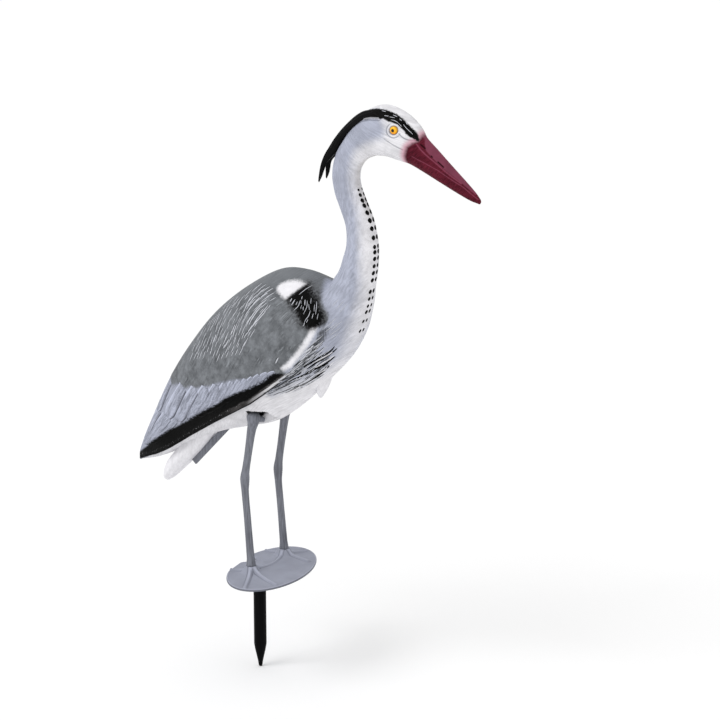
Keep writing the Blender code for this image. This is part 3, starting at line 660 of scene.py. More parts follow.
class Wires:
    """Adds shader nodes to one tree and joins them."""

    def __init__(self, tree):
        self.tree = tree

    def add(self, kind, **settings):
        node = self.tree.nodes.new(kind)
        for name, value in settings.items():
            setattr(node, name, value)
        return node

    def feed(self, socket, value):
        if isinstance(value, bpy.types.NodeSocket):
            self.tree.links.new(value, socket)
        elif socket.type == "RGBA":
            socket.default_value = (*value, 1.0)
        else:
            socket.default_value = value

    def math(self, operation, a, b=0.0, clamp=False):
        node = self.add("ShaderNodeMath", operation=operation, use_clamp=clamp)
        self.feed(node.inputs[0], a)
        self.feed(node.inputs[1], b)
        return node.outputs[0]

    def times(self, first, second):
        return self.math("MULTIPLY", first, second)

    def plus(self, first, second):
        return self.math("ADD", first, second)

    def minus(self, first, second):
        return self.math("SUBTRACT", first, second)

    def soft(self, value, low, high):
        node = self.add("ShaderNodeMapRange", interpolation_type="SMOOTHSTEP")
        for socket, part in zip(node.inputs, (value, low, high, 0.0, 1.0)):
            self.feed(socket, part)
        return node.outputs[0]

    def blend(self, mask, a, b):
        node = self.add("ShaderNodeMix", data_type="RGBA")
        self.feed(node.inputs[0], mask)
        self.feed(node.inputs[6], a)
        self.feed(node.inputs[7], b)
        return node.outputs[2]

    def between(self, mask, a, b):
        node = self.add("ShaderNodeMix", data_type="FLOAT")
        for socket, part in zip(node.inputs[0:1] + node.inputs[2:4], (mask, a, b)):
            self.feed(socket, part)
        return node.outputs[0]

    def mark(self, name):
        return self.add("ShaderNodeAttribute", attribute_name=name).outputs["Fac"]

    def weave(self):
        return self.add("ShaderNodeUVMap", uv_map="weave").outputs["UV"]

    def place(self):
        return self.add("ShaderNodeTexCoord").outputs["Object"]

    def noise(self, vector, scale, detail=3.0, roughness=0.5):
        node = self.add("ShaderNodeTexNoise")
        self.feed(node.inputs["Vector"], vector)
        self.feed(node.inputs["Scale"], scale)
        self.feed(node.inputs["Detail"], detail)
        self.feed(node.inputs["Roughness"], roughness)
        return node.outputs["Fac"]

    def parts(self, vector):
        node = self.add("ShaderNodeSeparateXYZ")
        self.feed(node.inputs[0], vector)
        return node.outputs[0], node.outputs[1], node.outputs[2]

    def vector(self, x, y, z):
        node = self.add("ShaderNodeCombineXYZ")
        for socket, value in zip(node.inputs, (x, y, z)):
            self.feed(socket, value)
        return node.outputs[0]

    def effect(self, name, **inputs):
        node = self.add("ShaderNodeGroup", node_tree=bpy.data.node_groups[name])
        for key, value in inputs.items():
            self.feed(node.inputs[key.replace("_", " ")], value)
        return node.outputs

    def bump(self, height, distance, strength=1.0):
        node = self.add("ShaderNodeBump")
        self.feed(node.inputs["Strength"], strength)
        self.feed(node.inputs["Distance"], distance)
        self.feed(node.inputs["Height"], height)
        return node.outputs["Normal"]


def effect_group(name, inputs, outputs):
    """An empty node group with named sockets, and wires for its inside."""
    made = bpy.data.node_groups.new(name, "ShaderNodeTree")
    for socket, kind, default in inputs:
        new = made.interface.new_socket(socket, in_out="INPUT", socket_type="NodeSocket" + kind)
        if default is not None:
            new.default_value = default
    for socket, kind in outputs:
        made.interface.new_socket(socket, in_out="OUTPUT", socket_type="NodeSocket" + kind)
    wires = Wires(made)
    return wires, wires.add("NodeGroupInput").outputs, wires.add("NodeGroupOutput").inputs


def make_effects():
    """The shared effects: moulded plastic's grain, drawn-out brush lines, and the soft edge of sprayed
    paint."""
    wires, given, result = effect_group("moulded_grain", (("Vector", "Vector", None),
        ("Grain", "Float", 900.0), ("Patches", "Float", 45.0)),
                                        (("Tone", "Float"), ("Height", "Float")))
    fine = wires.noise(given["Vector"], given["Grain"], 2.0, 0.6)
    broad = wires.noise(given["Vector"], given["Patches"], 3.0, 0.55)
    wires.feed(result["Tone"], broad)
    wires.feed(result["Height"], wires.plus(wires.times(fine, 0.4), wires.times(broad, 0.6)))

    wires, given, result = effect_group("brush_lines", (("Vector", "Vector", None),
        ("Across", "Float", 0.5), ("Along", "Float", 0.05),
                                                        ("Break", "Float", 0.35)), (("Tone", "Float"),))
    x, y, z = wires.parts(given["Vector"])
    wander = wires.times(wires.noise(wires.vector(wires.times(x, 0.05), wires.times(y, 0.09), z), 1.0, 2.0),
        5.0)
    line = wires.vector(wires.times(wires.plus(x, wander), given["Across"]), wires.times(y, given["Along"]),
        z)
    fine = wires.soft(wires.noise(line, 1.0, 2.5, 0.62), 0.36, 0.64)
    gap = wires.noise(wires.vector(wires.times(x, 0.06), wires.times(y, 0.05), z), 1.0, 2.0)
    strength = wires.soft(gap, given["Break"], wires.plus(given["Break"], 0.25))
    wires.feed(result["Tone"], wires.between(strength, 0.5, fine))

    wires, given, result = effect_group("sprayed_edge", (("Depth", "Float", 0.0),
        ("Softness", "Float", 1.0), ("Ragged", "Float", 0.0),
                                                         ("Vector", "Vector", None)), (("Mask", "Float"),))
    rough = wires.times(wires.minus(wires.noise(given["Vector"], 320.0, 3.0, 0.6), 0.5), given["Ragged"])
    depth = wires.plus(given["Depth"], rough)
    half = wires.times(given["Softness"], 0.5)
    wires.feed(result["Mask"], wires.soft(depth, wires.minus(0.0, half), half))


def new_paint(name, roughness, coat=0.0, coat_roughness=0.2, specular=0.03):
    """A material with its own shader, and wires for the rest."""
    made = bpy.data.materials.new("heron_" + name)
    made.use_nodes = True
    shader = made.node_tree.nodes["Principled BSDF"]
    shader.inputs["Roughness"].default_value = roughness
    shader.inputs["Specular IOR Level"].default_value = specular
    shader.inputs["Coat Weight"].default_value = coat
    shader.inputs["Coat Roughness"].default_value = coat_roughness
    return made, Wires(made.node_tree), shader.inputs


def plumage_paint(colours):
    """The body's sprayed paint: every area from its named depth, with brush lines that follow the
    plumes."""
    made, wires, shader = new_paint("painted_plumage", 0.5)
    place, weave = wires.place(), wires.weave()
    x, _, z = wires.parts(place)
    grain = wires.effect("moulded_grain", Vector=place)
    lines = wires.effect("brush_lines", Vector=weave, Across=0.34, Along=0.05)["Tone"]
    hairs = wires.effect("brush_lines", Vector=weave, Across=0.8, Along=0.09, Break=0.2)["Tone"]
    scratch = wires.effect("brush_lines", Vector=weave, Across=0.55, Along=0.03, Break=0.42)["Tone"]
    clouds = wires.soft(wires.noise(place, 42.0, 4.0, 0.6), 0.34, 0.66)

    def area(name, softness, ragged=0.0):
        return wires.effect("sprayed_edge", Depth=wires.mark(name), Softness=softness, Ragged=ragged,
            Vector=place)["Mask"]

    def mix(*shares):
        total = 0.0
        for tone, share in shares:
            total = wires.plus(wires.times(tone, share), total)
        return total

    def shade(colour, dark, light, tone):
        return wires.blend(tone, tinted(colour, dark), tinted(colour, light))

    def band(value, middle, width):
        return wires.minus(1.0, wires.soft(wires.math("ABSOLUTE", wires.minus(value, middle)), 0.0, width))

    white = shade(colours.white, 0.68, 1.05, mix((lines, 0.3), (hairs, 0.35), (clouds, 0.35)))
    gap = wires.mark("wing_gap")
    # Painted shade: the white just below the wing's edge is darkened as the wing's shade on the belly.
    below = wires.times(wires.soft(gap, -16.0, -1.0), wires.soft(z, 0.42, 0.3))
    white = wires.blend(wires.times(below, 0.45), white, tinted(colours.white, 0.5))
    # Painted shade: the front of the throat is darkened where it turns away from the light.
    throat = wires.times(wires.soft(wires.mark("share"), 0.82, 0.98), wires.soft(z, 0.5, 0.55))
    white = wires.blend(wires.times(throat, 0.5), white, tuple(c * k for c,
        k in zip(colours.white, (0.52, 0.5, 0.46))))
    neck = shade(colours.blue_grey, 0.74, 1.24, mix((lines, 0.3), (hairs, 0.45), (clouds, 0.25)))
    neck_mask = wires.times(area("neck_grey", 17.0, 6.0), wires.minus(1.0, area("crown", 4.0)))
    colour = wires.blend(neck_mask, white, neck)
    mottle = wires.soft(wires.noise(place, 110.0, 4.0, 0.65), 0.36, 0.64)
    covert = shade(colours.covert, 0.5, 1.35, mix((mottle, 0.35), (clouds, 0.4), (lines, 0.25)))
    covert = wires.blend(wires.times(wires.soft(scratch, 0.3, 0.0), 0.6), covert,
        tinted(colours.covert, 0.35))
    covert = wires.blend(wires.times(wires.soft(scratch, 0.78, 1.0), 0.5), covert,
        tinted(colours.covert, 1.9))
    back = shade(colours.covert, 0.8, 1.25, mix((grain["Tone"], 0.5), (hairs, 0.25), (clouds, 0.25)))
    covert = wires.blend(wires.soft(wires.mark("share"), 0.1, 0.27), back, covert)
    vane = shade(colours.blue_grey, 0.62, 1.1, lines)
    wing = wires.blend(area("vane", 7.0, 3.0), covert, vane)
    colour = wires.blend(area("wing", 5.0, 1.5), colour, wing)
    brown = shade(colours.brown_black, 0.45, 1.5, mix((lines, 0.6), (clouds, 0.4)))
    brown = wires.blend(wires.soft(x, 0.015, -0.035), brown, shade(colours.black, 0.8, 3.0, lines))
    dark_edge = wires.blend(wires.soft(wires.plus(gap, wires.times(clouds, 2.0)), 7.0, 9.5), brown,
        colours.black)
    specks = wires.times(band(gap, 6.0, 2.5), wires.soft(wires.noise(place, 700.0, 2.0), 0.64, 0.7))
    dark_edge = wires.blend(specks, dark_edge, tinted(colours.white, 0.5))
    # Painted shade: the wing step's downward face is painted full black, standing for the shade under the
    # edge.
    dark_edge = wires.blend(wires.soft(gap, 0.9, 0.1), dark_edge, colours.black)
    colour = wires.blend(area("stripe", 3.5, 4.0), colour, dark_edge)
    rim = wires.times(wires.times(wires.soft(gap, 5.6, 3.8), wires.soft(gap, 0.4, 1.6)),
        wires.soft(x, 0.02, 0.06))
    rim = wires.times(rim, wires.soft(z, 0.37, 0.34))
    colour = wires.blend(rim, colour, shade(colours.white, 0.5, 0.85, lines))
    fade = wires.times(wires.soft(z, 0.3, 0.322), 0.95)
    halo = wires.times(area("halo", 8.0, 2.0), 0.75)
    colour = wires.blend(halo, colour, shade(colours.blue_grey, 0.95, 1.2, clouds))
    colour = wires.blend(wires.times(area("band", 5.5, 4.0), fade), colour,
        shade(colours.white, 0.88, 1.03, clouds))
    # Painted shadow of the wing's leading edge on the breast, as dark dashes.
    lead_shade_dashes = wires.times(wires.soft(wires.plus(wires.mark("lead_shade_dashes"), wires.times(hairs, 1.2)), -3.2, 0.4), 0.85)
    colour = wires.blend(lead_shade_dashes, colour, tinted(colours.covert, 0.32))
    colour = wires.blend(wires.times(area("black_patch", 20.0, 9.0), 0.75), colour,
        shade(colours.brown_black, 0.6, 1.5, hairs))
    colour = wires.blend(area("black_patch", 8.0, 15.0), colour,
        shade(colours.black, 0.6, 2.6, mix((hairs, 0.6), (lines, 0.4))))
    colour = wires.blend(area("patch", 5.5, 5.0), colour, shade(colours.white, 0.92, 1.03, clouds))
    across, up = wires.minus(x, EYE[0] * MM), wires.minus(z, EYE[1] * MM)
    from_eye = wires.math("SQRT", wires.plus(wires.times(across, across), wires.times(up, up)))
    # A violet-grey ring painted round the eye, and on the lower back half of the lid groove a grey ring as
    # painted shade in the groove.
    rings = mix((band(from_eye, 0.0056, 0.0011), 0.75), (wires.times(band(from_eye, 0.0095, 0.0014),
                                                      wires.soft(wires.plus(across, up), 0.009, -0.004)),
                                                      0.8))
    colour = wires.blend(rings, colour, tinted(colours.blue_grey, 0.6))
    # Painted shade in the face creases and the crest groove.
    creases = wires.soft(wires.mark("crease_shade"), -1.3, -0.1)
    colour = wires.blend(wires.times(creases, 0.75), colour, tinted(colours.blue_grey, 0.45))
    blush = wires.blend(wires.times(area("blush", 8.0, 3.0), 0.75), colour, colours.blush)
    lower = shade(colours.maroon, 0.5, 1.6, mix((wires.soft(wires.noise(wires.vector(
        wires.times(wires.plus(x, z), 90.0), wires.times(wires.minus(z, x), 900.0), 0.0), 1.0, 3.0), 0.36,
        0.64), 0.6),
        (clouds, 0.4)))
    bill = wires.blend(area("upper_bill", 1.6, 0.8), lower, shade(colours.mauve, 0.72, 1.2,
        mix((grain["Tone"], 0.5), (clouds, 0.5))))
    # Painted highlight along the bill's ridge and its crease.
    bill = wires.blend(wires.times(area("bill_ridge_highlight", 1.4, 0.8), 0.6), bill, tinted(colours.mauve, 1.5))
    bill = wires.blend(area("bill_dark", 0.9), bill, tinted(colours.maroon, 0.35))
    bill = wires.blend(wires.times(wires.soft(wires.mark("bill"), 4.0, 0.5), 0.7), bill,
        tinted(colours.maroon, 0.55))
    colour = wires.blend(area("bill", 6.5, 2.5), blush, bill)
    colour = wires.blend(area("brow", 1.6, 2.6), colour, shade(colours.black, 0.6, 3.0, hairs))
    # Painted highlight: a light line along the crest's edge on the head.
    colour = wires.blend(wires.times(wires.soft(wires.mark("crest_edge_highlight"), -0.7, 0.4), 0.8), colour,
        tinted(colours.stroke, 0.75))
    # Painted shadow: the inside of the leg sockets is painted black.
    colour = wires.blend(area("socket", 0.6), colour, colours.black)
    wires.feed(shader["Base Color"], colour)
    wires.feed(shader["Roughness"], wires.between(area("bill", 2.0),
        wires.between(grain["Tone"], 0.42, 0.58), 0.36))
    height = mix((lines, wires.between(area("wing", 4.0), 0.3, 0.8)), (hairs, 0.35), (grain["Height"], 0.3))
    wires.feed(shader["Normal"], wires.bump(height, 0.0006, 0.8))
    return made


def leaf_paint(name, colour, black, dark, light, roughness=0.5, tip=0.6):
    """Paint for wing feathers: barbs slant away from the shaft, one edge carries a painted shadow of the
    overlapping neighbour, the other a painted highlight, and the tip is soiled."""
    made, wires, shader = new_paint(name, roughness)
    u, v, _ = wires.parts(wires.weave())
    place = wires.place()
    slant = wires.plus(v, wires.times(wires.math("ABSOLUTE", u), 8.0))
    barbs = wires.effect("brush_lines", Vector=wires.vector(slant, wires.times(u, 9.0), 0.0), Across=0.7,
        Along=0.12, Break=0.2)["Tone"]
    vane = wires.effect("brush_lines", Vector=wires.vector(wires.times(u, 9.0), v,
        wires.times(wires.parts(place)[0], 30.0)),
                        Across=0.42, Along=0.03, Break=0.1)["Tone"]
    tone = wires.plus(wires.times(barbs, 0.3), wires.times(vane, 0.7))
    body = wires.blend(tone, tinted(colour, dark), tinted(colour, light))
    # Painted highlight along one edge, and along the other a painted shadow of the overlapping neighbour.
    body = wires.blend(wires.times(wires.soft(u, -0.62, -0.92), 0.8), body, tinted(colour, light * 1.25))
    body = wires.blend(wires.times(wires.soft(u, 0.68, 0.96), 0.9), body, tinted(colour, 0.3))
    body = wires.blend(wires.times(wires.soft(wires.plus(v, wires.times(barbs, 3.0)), -4.0, 2.0), tip),
        body,
                       tinted(colour, 0.25))
    over = wires.effect("sprayed_edge", Depth=wires.plus(wires.mark("stripe"), wires.times(barbs, 2.5)),
        Softness=4.0,
                        Ragged=3.0, Vector=place)["Mask"]
    wires.feed(shader["Base Color"], wires.blend(over, body, black))
    wires.feed(shader["Normal"], wires.bump(tone, 0.0004, 0.8))
    return made


def plain_paint(name, colour, dark=0.85, light=1.15, roughness=0.5, grain_scale=900.0, coat=0.0,
        strength=0.5, streak=None, rim=None):
    """Moulded plastic: a colour with faint patches, fine grain and, where it is drawn out, lengthwise
    streaks; with a rim mark, painted highlights on ridge tops and the rim's top edge, and painted shade in
    the grooves and on the rim's wall."""
    made, wires, shader = new_paint(name, roughness, coat)
    place = wires.place()
    grain = wires.effect("moulded_grain", Vector=place, Grain=grain_scale)
    tone = grain["Tone"]
    if streak:
        x, y, z = wires.parts(place)
        drawn = wires.vector(wires.times(x, streak[0]), wires.times(y, streak[1]),
            wires.times(z, streak[2]))
        lines = wires.noise(drawn, 1.0, 3.0, 0.6)
        tone = wires.plus(wires.times(tone, 0.4), wires.times(wires.soft(lines, 0.3, 0.7), 0.6))
    painted = wires.blend(tone, tinted(colour, dark), tinted(colour, light))
    if rim:
        # Painted light: ridge tops get a painted highlight and the grooves beside them painted shade; the
        # rim's top edge gets a painted highlight line and its wall painted shade.
        edge, ridge = wires.mark(rim), wires.mark("ridge")
        painted = wires.blend(wires.times(wires.soft(ridge, 0.1, 1.0), 0.6), painted, tinted(colour, 1.45))
        painted = wires.blend(wires.times(wires.soft(ridge, -0.1, -1.0), 0.75), painted,
            tinted(colour, 0.5))
        painted = wires.blend(wires.times(wires.soft(edge, 0.2, 0.8), 0.5), painted, tinted(colour, 1.35))
        painted = wires.blend(wires.soft(edge, 1.2, 1.8), painted, tinted(colour, 0.5))
    wires.feed(shader["Base Color"], painted)
    wires.feed(shader["Roughness"], wires.between(grain["Tone"], roughness - 0.08, roughness + 0.08))
    wires.feed(shader["Normal"], wires.bump(wires.plus(wires.times(tone, 0.7),
        wires.times(grain["Height"], 0.3)),
                                            0.0005, strength))
    return made


# Settings

class HeronSizes(bpy.types.PropertyGroup):
    wing_step: FloatProperty(name="Wing Step",
        description="How far the folded wing stands proud of the body", default=5.0 * MM,
                             min=0.0, max=0.01, unit="LENGTH")
    feather_height: FloatProperty(name="Feather Height",
        description="Thickness of a wing feather above the wing", default=0.55 * MM,
                                  min=0.0, max=0.002, unit="LENGTH")
    stroke_width: FloatProperty(name="Stroke Width", description="Greatest width of a painted plume stroke",
        default=1.3 * MM,
                                min=0.0002, max=0.004, unit="LENGTH")
    short_plumes: IntProperty(name="Short Plumes",
        description="How many short plume strokes each wing carries", default=SHORT_PLUMES,
                              min=0, max=400)
    eye_radius: FloatProperty(name="Eye Radius", description="Radius of the eye bead",
        default=EYE_RADIUS * MM, min=0.003, max=0.006,
                              unit="LENGTH")


def colour_setting(name, description, *shade):
    return FloatVectorProperty(name=name, description=description, subtype="COLOR", size=3, min=0.0,
        max=1.0, default=paint(*shade))


class HeronColours(bpy.types.PropertyGroup):
    white: colour_setting("White", "Belly, throat, face and crown", 236, 235, 239)
    covert: colour_setting("Covert Grey", "Back and upper wing", 113, 116, 120)
    blue_grey: colour_setting("Blue Grey", "Neck and wing feathers", 165, 169, 184)
    black: colour_setting("Black", "Wing stripe, shoulder patch, brow and neck spots", 7, 7, 7)
    brown_black: colour_setting("Brown Black", "Lower edge of the wing stripe", 62, 60, 60)
    maroon: colour_setting("Maroon", "Lower bill and its sides", 84, 25, 38)
    mauve: colour_setting("Mauve", "Top facet of the bill", 122, 62, 80)
    blush: colour_setting("Blush", "Overspray round the base of the bill", 198, 136, 153)
    stroke: colour_setting("Plume Stroke", "Light plume strokes on the wing", 196, 198, 205)
    iris: colour_setting("Iris", "Ring of the eye", 255, 186, 16)
    crest: colour_setting("Crest Black", "Crest plumes", 9, 9, 10)
    leg: colour_setting("Leg Grey", "Legs and tail rib", 117, 119, 127)
    plate: colour_setting("Plate Grey", "Foot plate", 150, 153, 166)
    spike: colour_setting("Spike Black", "Ground spike", 9, 9, 10)


def settings():
    return bpy.context.scene.heron_sizes, bpy.context.scene.heron_colours


def finish(name):
    """The material of that name, made the first time that it is asked for."""
    if "heron_" + name in bpy.data.materials:
        return bpy.data.materials["heron_" + name]
    if "moulded_grain" not in bpy.data.node_groups:
        make_effects()
    c = settings()[1]
    makers = {
        "painted_plumage": lambda: plumage_paint(c),
        "belly_white": lambda: plain_paint("belly_white", c.white, 0.78, 1.0, 0.5, streak=(260, 260, 60)),
        "wing_feather": lambda: leaf_paint("wing_feather", c.blue_grey, c.black, 0.52, 1.2),
        "plume_stroke": lambda: plain_paint("plume_stroke", c.stroke, 0.72, 1.2, 0.55),
        "white_stroke": lambda: plain_paint("white_stroke", c.white, 0.82, 1.02, 0.55),
        "black_stroke": lambda: plain_paint("black_stroke", c.black, 0.7, 1.8, 0.5),
        "shadow_stroke": lambda: plain_paint("shadow_stroke", tinted(c.covert, 0.42), 0.7, 1.3, 0.55),
        "crest_gloss": lambda: plain_paint("crest_gloss", c.crest, 0.4, 2.4, 0.34, coat=0.03, strength=0.8),
        "leg_plastic": lambda: plain_paint("leg_plastic", c.leg, 0.55, 1.4, 0.46, streak=(520, 520, 22),
        strength=0.9),
        "plate_plastic": lambda: plain_paint("plate_plastic", c.plate, 0.8, 1.18, 0.5, grain_scale=700,
        strength=0.7, rim="rim"),
        "spike_plastic": lambda: plain_paint("spike_plastic", c.spike, 0.8, 1.6, 0.36, grain_scale=1200,
        strength=0.35, streak=(500, 500, 12)),
        "eye_enamel": lambda: eye_paint(c),
    }
    return makers[name]()


def eye_paint(colours):
    """A glossy eye: black pupil, an iris lighter at the top as a painted highlight and deeper orange
    downwards, a dark rim.
    """
    made, wires, shader = new_paint("eye_enamel", 0.12, coat=0.35, coat_roughness=0.05, specular=0.2)
    x, y, z = wires.parts(wires.place())
    across = wires.minus(x, EYE[0] * MM)
    up = wires.minus(z, EYE[1] * MM)
    radius = wires.math("SQRT", wires.plus(wires.times(across, across), wires.times(up, up)))
    spokes = wires.noise(wires.vector(wires.times(wires.math("ARCTAN2", up, across), 9.0),
        wires.times(radius, 300.0), 0.0), 1.0)
    # Painted highlight: the iris is lighter at the top and deeper orange towards the bottom.
    iris = wires.blend(wires.soft(up, -0.006, 0.001), tuple(c * k for c,
        k in zip(colours.iris, (0.92, 0.58, 0.0))), colours.iris)
    iris = wires.blend(wires.times(spokes, 0.25), iris, tinted(colours.iris, 0.72))
    iris = wires.blend(wires.soft(radius, 0.0047, 0.0054), iris, tinted(colours.iris, 0.4))
    wires.feed(shader["Base Color"], wires.blend(wires.soft(radius, 0.0021, 0.00245), colours.black, iris))
    return made


# Body

def end_cap(section, tip, shrink):
    """Sections that close in on a tip as a rounded end."""
    middle = (section[0:2] + section[2:4]) / 2
    made = []
    for s in shrink:
        centre = middle + (np.array(tip) - middle) * math.sqrt(1 - s * s)
        made.append([*(centre + s * (section[0:2] - middle)), *(centre + s * (section[2:4] - middle)),
            s * section[4]])
    return np.array(made)


def body_sections():
    """Close sections along the whole body, rounded at the tail and at the bill."""
    stations = np.array(TORSO + NECK + HEAD + BILL, float)
    places = section_places(stations)
    wanted, first = [], 0
    for group, step in ROW_STEPS:
        end = min(first + len(group), len(stations) - 1)
        count = max(2, round((places[end] - places[first]) / step))
        wanted.append(np.linspace(places[first], places[end], count, endpoint=False))
        first += len(group)
    sections = hermite_at(stations, places, np.append(np.concatenate(wanted), places[-1]))
    return np.vstack([end_cap(sections[0], TAIL_TIP, CAP_SHRINK), sections,
        end_cap(sections[-1], BILL_TIP, CAP_SHRINK[::-1])])


def mirrored(values):
    """Values of the left side, carried over to the right one."""
    return np.concatenate([values, values[:, -2:0:-1]], axis=1)


def body_marks(left, share, crossing):
    """How deep each point lies inside each painted area."""
    shape = left.shape[:2]
    points = left[..., [0, 2]].reshape(-1, 2)

    def depth(outline):
        return area_depth(points, outline).reshape(shape)

    def near(line, reach):
        return reach - line_gap(points, line).reshape(shape)

    steps = np.linalg.norm(np.diff(left, axis=1), axis=2)
    along = np.concatenate([np.zeros((shape[0], 1)), np.cumsum(steps, axis=1)], axis=1)
    gap = along[:, ABOVE_EDGE:ABOVE_EDGE + 1] - along
    on_wing = np.where((crossing >= WING_SHARE[0])[:, None], gap + 2.5, 99.0)
    lower = tuple((x + 7, z - 10) for x, z in WING_EDGE[:13])
    wing = np.minimum(depth(lower + WING_AREA[13:]), on_wing)
    stripe = np.minimum(depth(STRIPE_UPPER + lower[8::-1]), on_wing)
    side = left[..., 1]
    # The leg sockets: they carve the recess, and inside them the paint puts black as shadow.
    sockets = np.minimum(np.minimum(left[..., 0] - SOCKET_X[0], SOCKET_X[1] - left[..., 0]),
                         np.minimum(side - SOCKET_Y[0], SOCKET_Y[1] - side))
    sockets = np.where(left[..., 2] < HIP_TOP + 1, sockets, -9.0)
    bill = depth(BILL_AREA)
    slits = np.max([near((a, b), width) for a, b, width in NOSTRILS], axis=0)
    creases = np.max([near(line, 0.0) for line in (FACE_LINE, LORE_LINE, CREST_GROOVE)], axis=0)
    return {
        "share": share, "wing_gap": gap, "wing": wing, "stripe": stripe, "vane": depth(VANE_AREA),
        "patch": depth(WHITE_PATCH),
        "black_patch": depth(BLACK_PATCH), "band": near(LEADING_BAND, 3.4),
        "halo": near(tuple((x + 4.5, z - 1) for x, z in LEADING_BAND), 5.5),
        "neck_grey": depth(NECK_GREY_AREA),
        "bill": bill, "blush": bill + 5.0, "upper_bill": depth(UPPER_BILL + ((350, 580), (300, 625),
        (272, 650), (250, 645))),
        "bill_ridge_highlight": np.maximum(near(BILL_RIDGE, 0.7), near(BILL_CREASE, 0.5)), "bill_dark": slits,
        "brow": depth(BROW_AREA),
        "socket": sockets, "crease_shade": creases, "crest_edge_highlight": near(CREST_EDGE, 0.6),
        "crown": depth(CROWN_AREA), "lead_shade_dashes": np.max([near(line, 0.0) for line in LEAD_SHADE_DASHES], axis=0),
    }


def body_relief(left, marks):
    """How far each point stands out from the plain form: lids, brow, creases, bill and the step under the
    coverts."""
    shape = left.shape[:2]
    points = left[..., [0, 2]].reshape(-1, 2)
    side = ramp(left[..., 1], 2.5, 8.0)

    def line(path, reach, height):
        return height * bell(line_gap(points, path).reshape(shape), 0, reach)

    from_eye = np.hypot(points[:, 0] - EYE[0], points[:, 1] - EYE[1]).reshape(shape)
    lids = sum(height * bell(from_eye, radius, reach) for radius, reach, height in LID_RINGS)
    lids = lids - EYE_POCKET[2] * (1 - ramp(from_eye, EYE_POCKET[0], EYE_POCKET[1]))
    relief = side * (lids + 0.6 * ramp(marks["brow"], -0.8, 1.4) + line(FACE_LINE, 1.9,
        -0.7) + line(LORE_LINE, 1.7, -0.6)
                      + line(CREST_GROOVE, 1.8, -0.6) + line(CREST_EDGE, 1.6, 0.4))
    relief += line(BILL_RIDGE, 1.6, 0.4) + line(BILL_CREASE, 1.5, -0.5) - 0.8 * ramp(marks["bill_dark"],
        -0.4, 0.6)
    relief += 0.2 * bell(left[..., 1], 0, 0.9)
    relief -= COVERT_STEP * ramp(marks["vane"], -0.6, 1.6) * ramp(marks["wing_gap"], -1, 3)
    return relief


def make_body():
    sizes, _ = settings()
    sections = body_sections()
    rows, share = body_rows(sections, sizes.wing_step / MM)
    half = rows.shape[1] // 2 + 1
    left = rows[:, :half]
    marks = body_marks(left, share, np.nan_to_num(edge_share(sections[:, 0:2], sections[:, 2:4])))
    relief = mirrored(body_relief(left, marks))
    carved = rows + row_normals(rows) * relief[..., None]
    into = mirrored(ramp(marks["socket"], -0.6, 0.8))
    carved[..., 2] += into * np.maximum(HIP_TOP - carved[..., 2], 0)
    flow = flow_across(left[..., [0, 2]].reshape(-1, 2)).reshape(left.shape[:2])
    weave = np.stack([mirrored(flow), rows[..., 2]], axis=-1)
    body = woven("body_skin", carved, (TAIL_TIP[0], 0, TAIL_TIP[1]), (BILL_TIP[0], 0, BILL_TIP[1]),
                 {name: mirrored(values) for name, values in marks.items()}, weave)
    finish_piece(body, finish("painted_plumage"), "painted_plumage", "heron_body")
    for name, stations, sides in (("undertail_tuft", UNDERTAIL, 44), ("breast_tuft", BREAST_TUFT, 36)):
        tuft = lobe(name, stations, sides)
        finish_piece(tuft, finish("belly_white"), "painted_plumage")
    make_rib()


def smooth_rows(stations, count):
    """Stations joined by a smooth curve, at even steps."""
    stations = np.asarray(stations, float)
    places = np.concatenate([[0], np.cumsum(np.linalg.norm(np.diff(stations[:, :2], axis=0), axis=1))])
    return hermite_at(stations, places, np.linspace(0, places[-1], count))


def lobe(name, stations, sides):
    """A tapering tuft in the middle plane, with shallow grooves down its length."""
    path = smooth_rows(stations, 34)
    onward = np.gradient(path[:, :2], axis=0)
    onward /= np.hypot(*onward.T)[:, None]
    turn = np.linspace(0, 2 * math.pi, sides, endpoint=False)
    groove = 1 + 0.035 * np.sin(turn * 7)[None] * ramp(np.linspace(0, 1, len(path)), 0.1, 0.6)[:, None]
    deep, wide = path[:, 2:3] * np.cos(turn) * groove, path[:, 3:4] * np.sin(turn) * groove
    rows = np.stack([path[:, 0:1] - onward[:, 1:2] * deep, wide, path[:, 1:2] + onward[:, 0:1] * deep],
        axis=-1)
    start, end = path[0], path[-1] + np.append(onward[-1] * 1.5, (0, 0))
    return woven(name, rows, (start[0], 0, start[1]), (end[0], 0, end[1]))


def make_rib():
    """The flat rib in the middle plane under the tail."""
    top, end = np.array(RIB_TOP, float), np.array(RIB_END, float)
    lone()
    bpy.ops.mesh.primitive_cube_add(size=1.0)
    rib = bpy.context.object
    rib.name = rib.data.name = "tail_rib"
    way = end - top
    for vertex in rib.data.vertices:
        along, across, thick = vertex.co.x + 0.5, vertex.co.z, vertex.co.y
        place = top + way * along + np.array((-way[1], way[0])) / np.hypot(*way) * across * RIB_DEPTH
        vertex.co = (place[0] * MM, thick * RIB_THICK * MM, place[1] * MM)
    turn_outward(rib)
    soften(rib, 0.5, 2)
    finish_piece(rib, finish("leg_plastic"), "painted_plumage")


def soften(piece, width, segments):
    """Rounds a piece's edges over."""
    edges = piece.modifiers.new("edges", "BEVEL")
    edges.width, edges.segments = width * MM, segments
    lone()
    piece.select_set(True)
    bpy.context.view_layer.objects.active = piece
    bpy.ops.object.modifier_apply(modifier="edges")
    bpy.ops.object.shade_smooth_by_angle(angle=math.radians(35))


def body_surface():
    if "body_skin" not in bpy.data.objects:
        raise RuntimeError("The body has to be made first")
    return Skin(bpy.data.objects["body_skin"])


# Feathers and plume strokes

def off_middle(skin, line, clear):
    """The part of a line on the body that keeps clear of the middle plane."""
    return [spot for spot in line if abs(skin.at(spot[0], spot[1], -1)[0][1]) > clear]


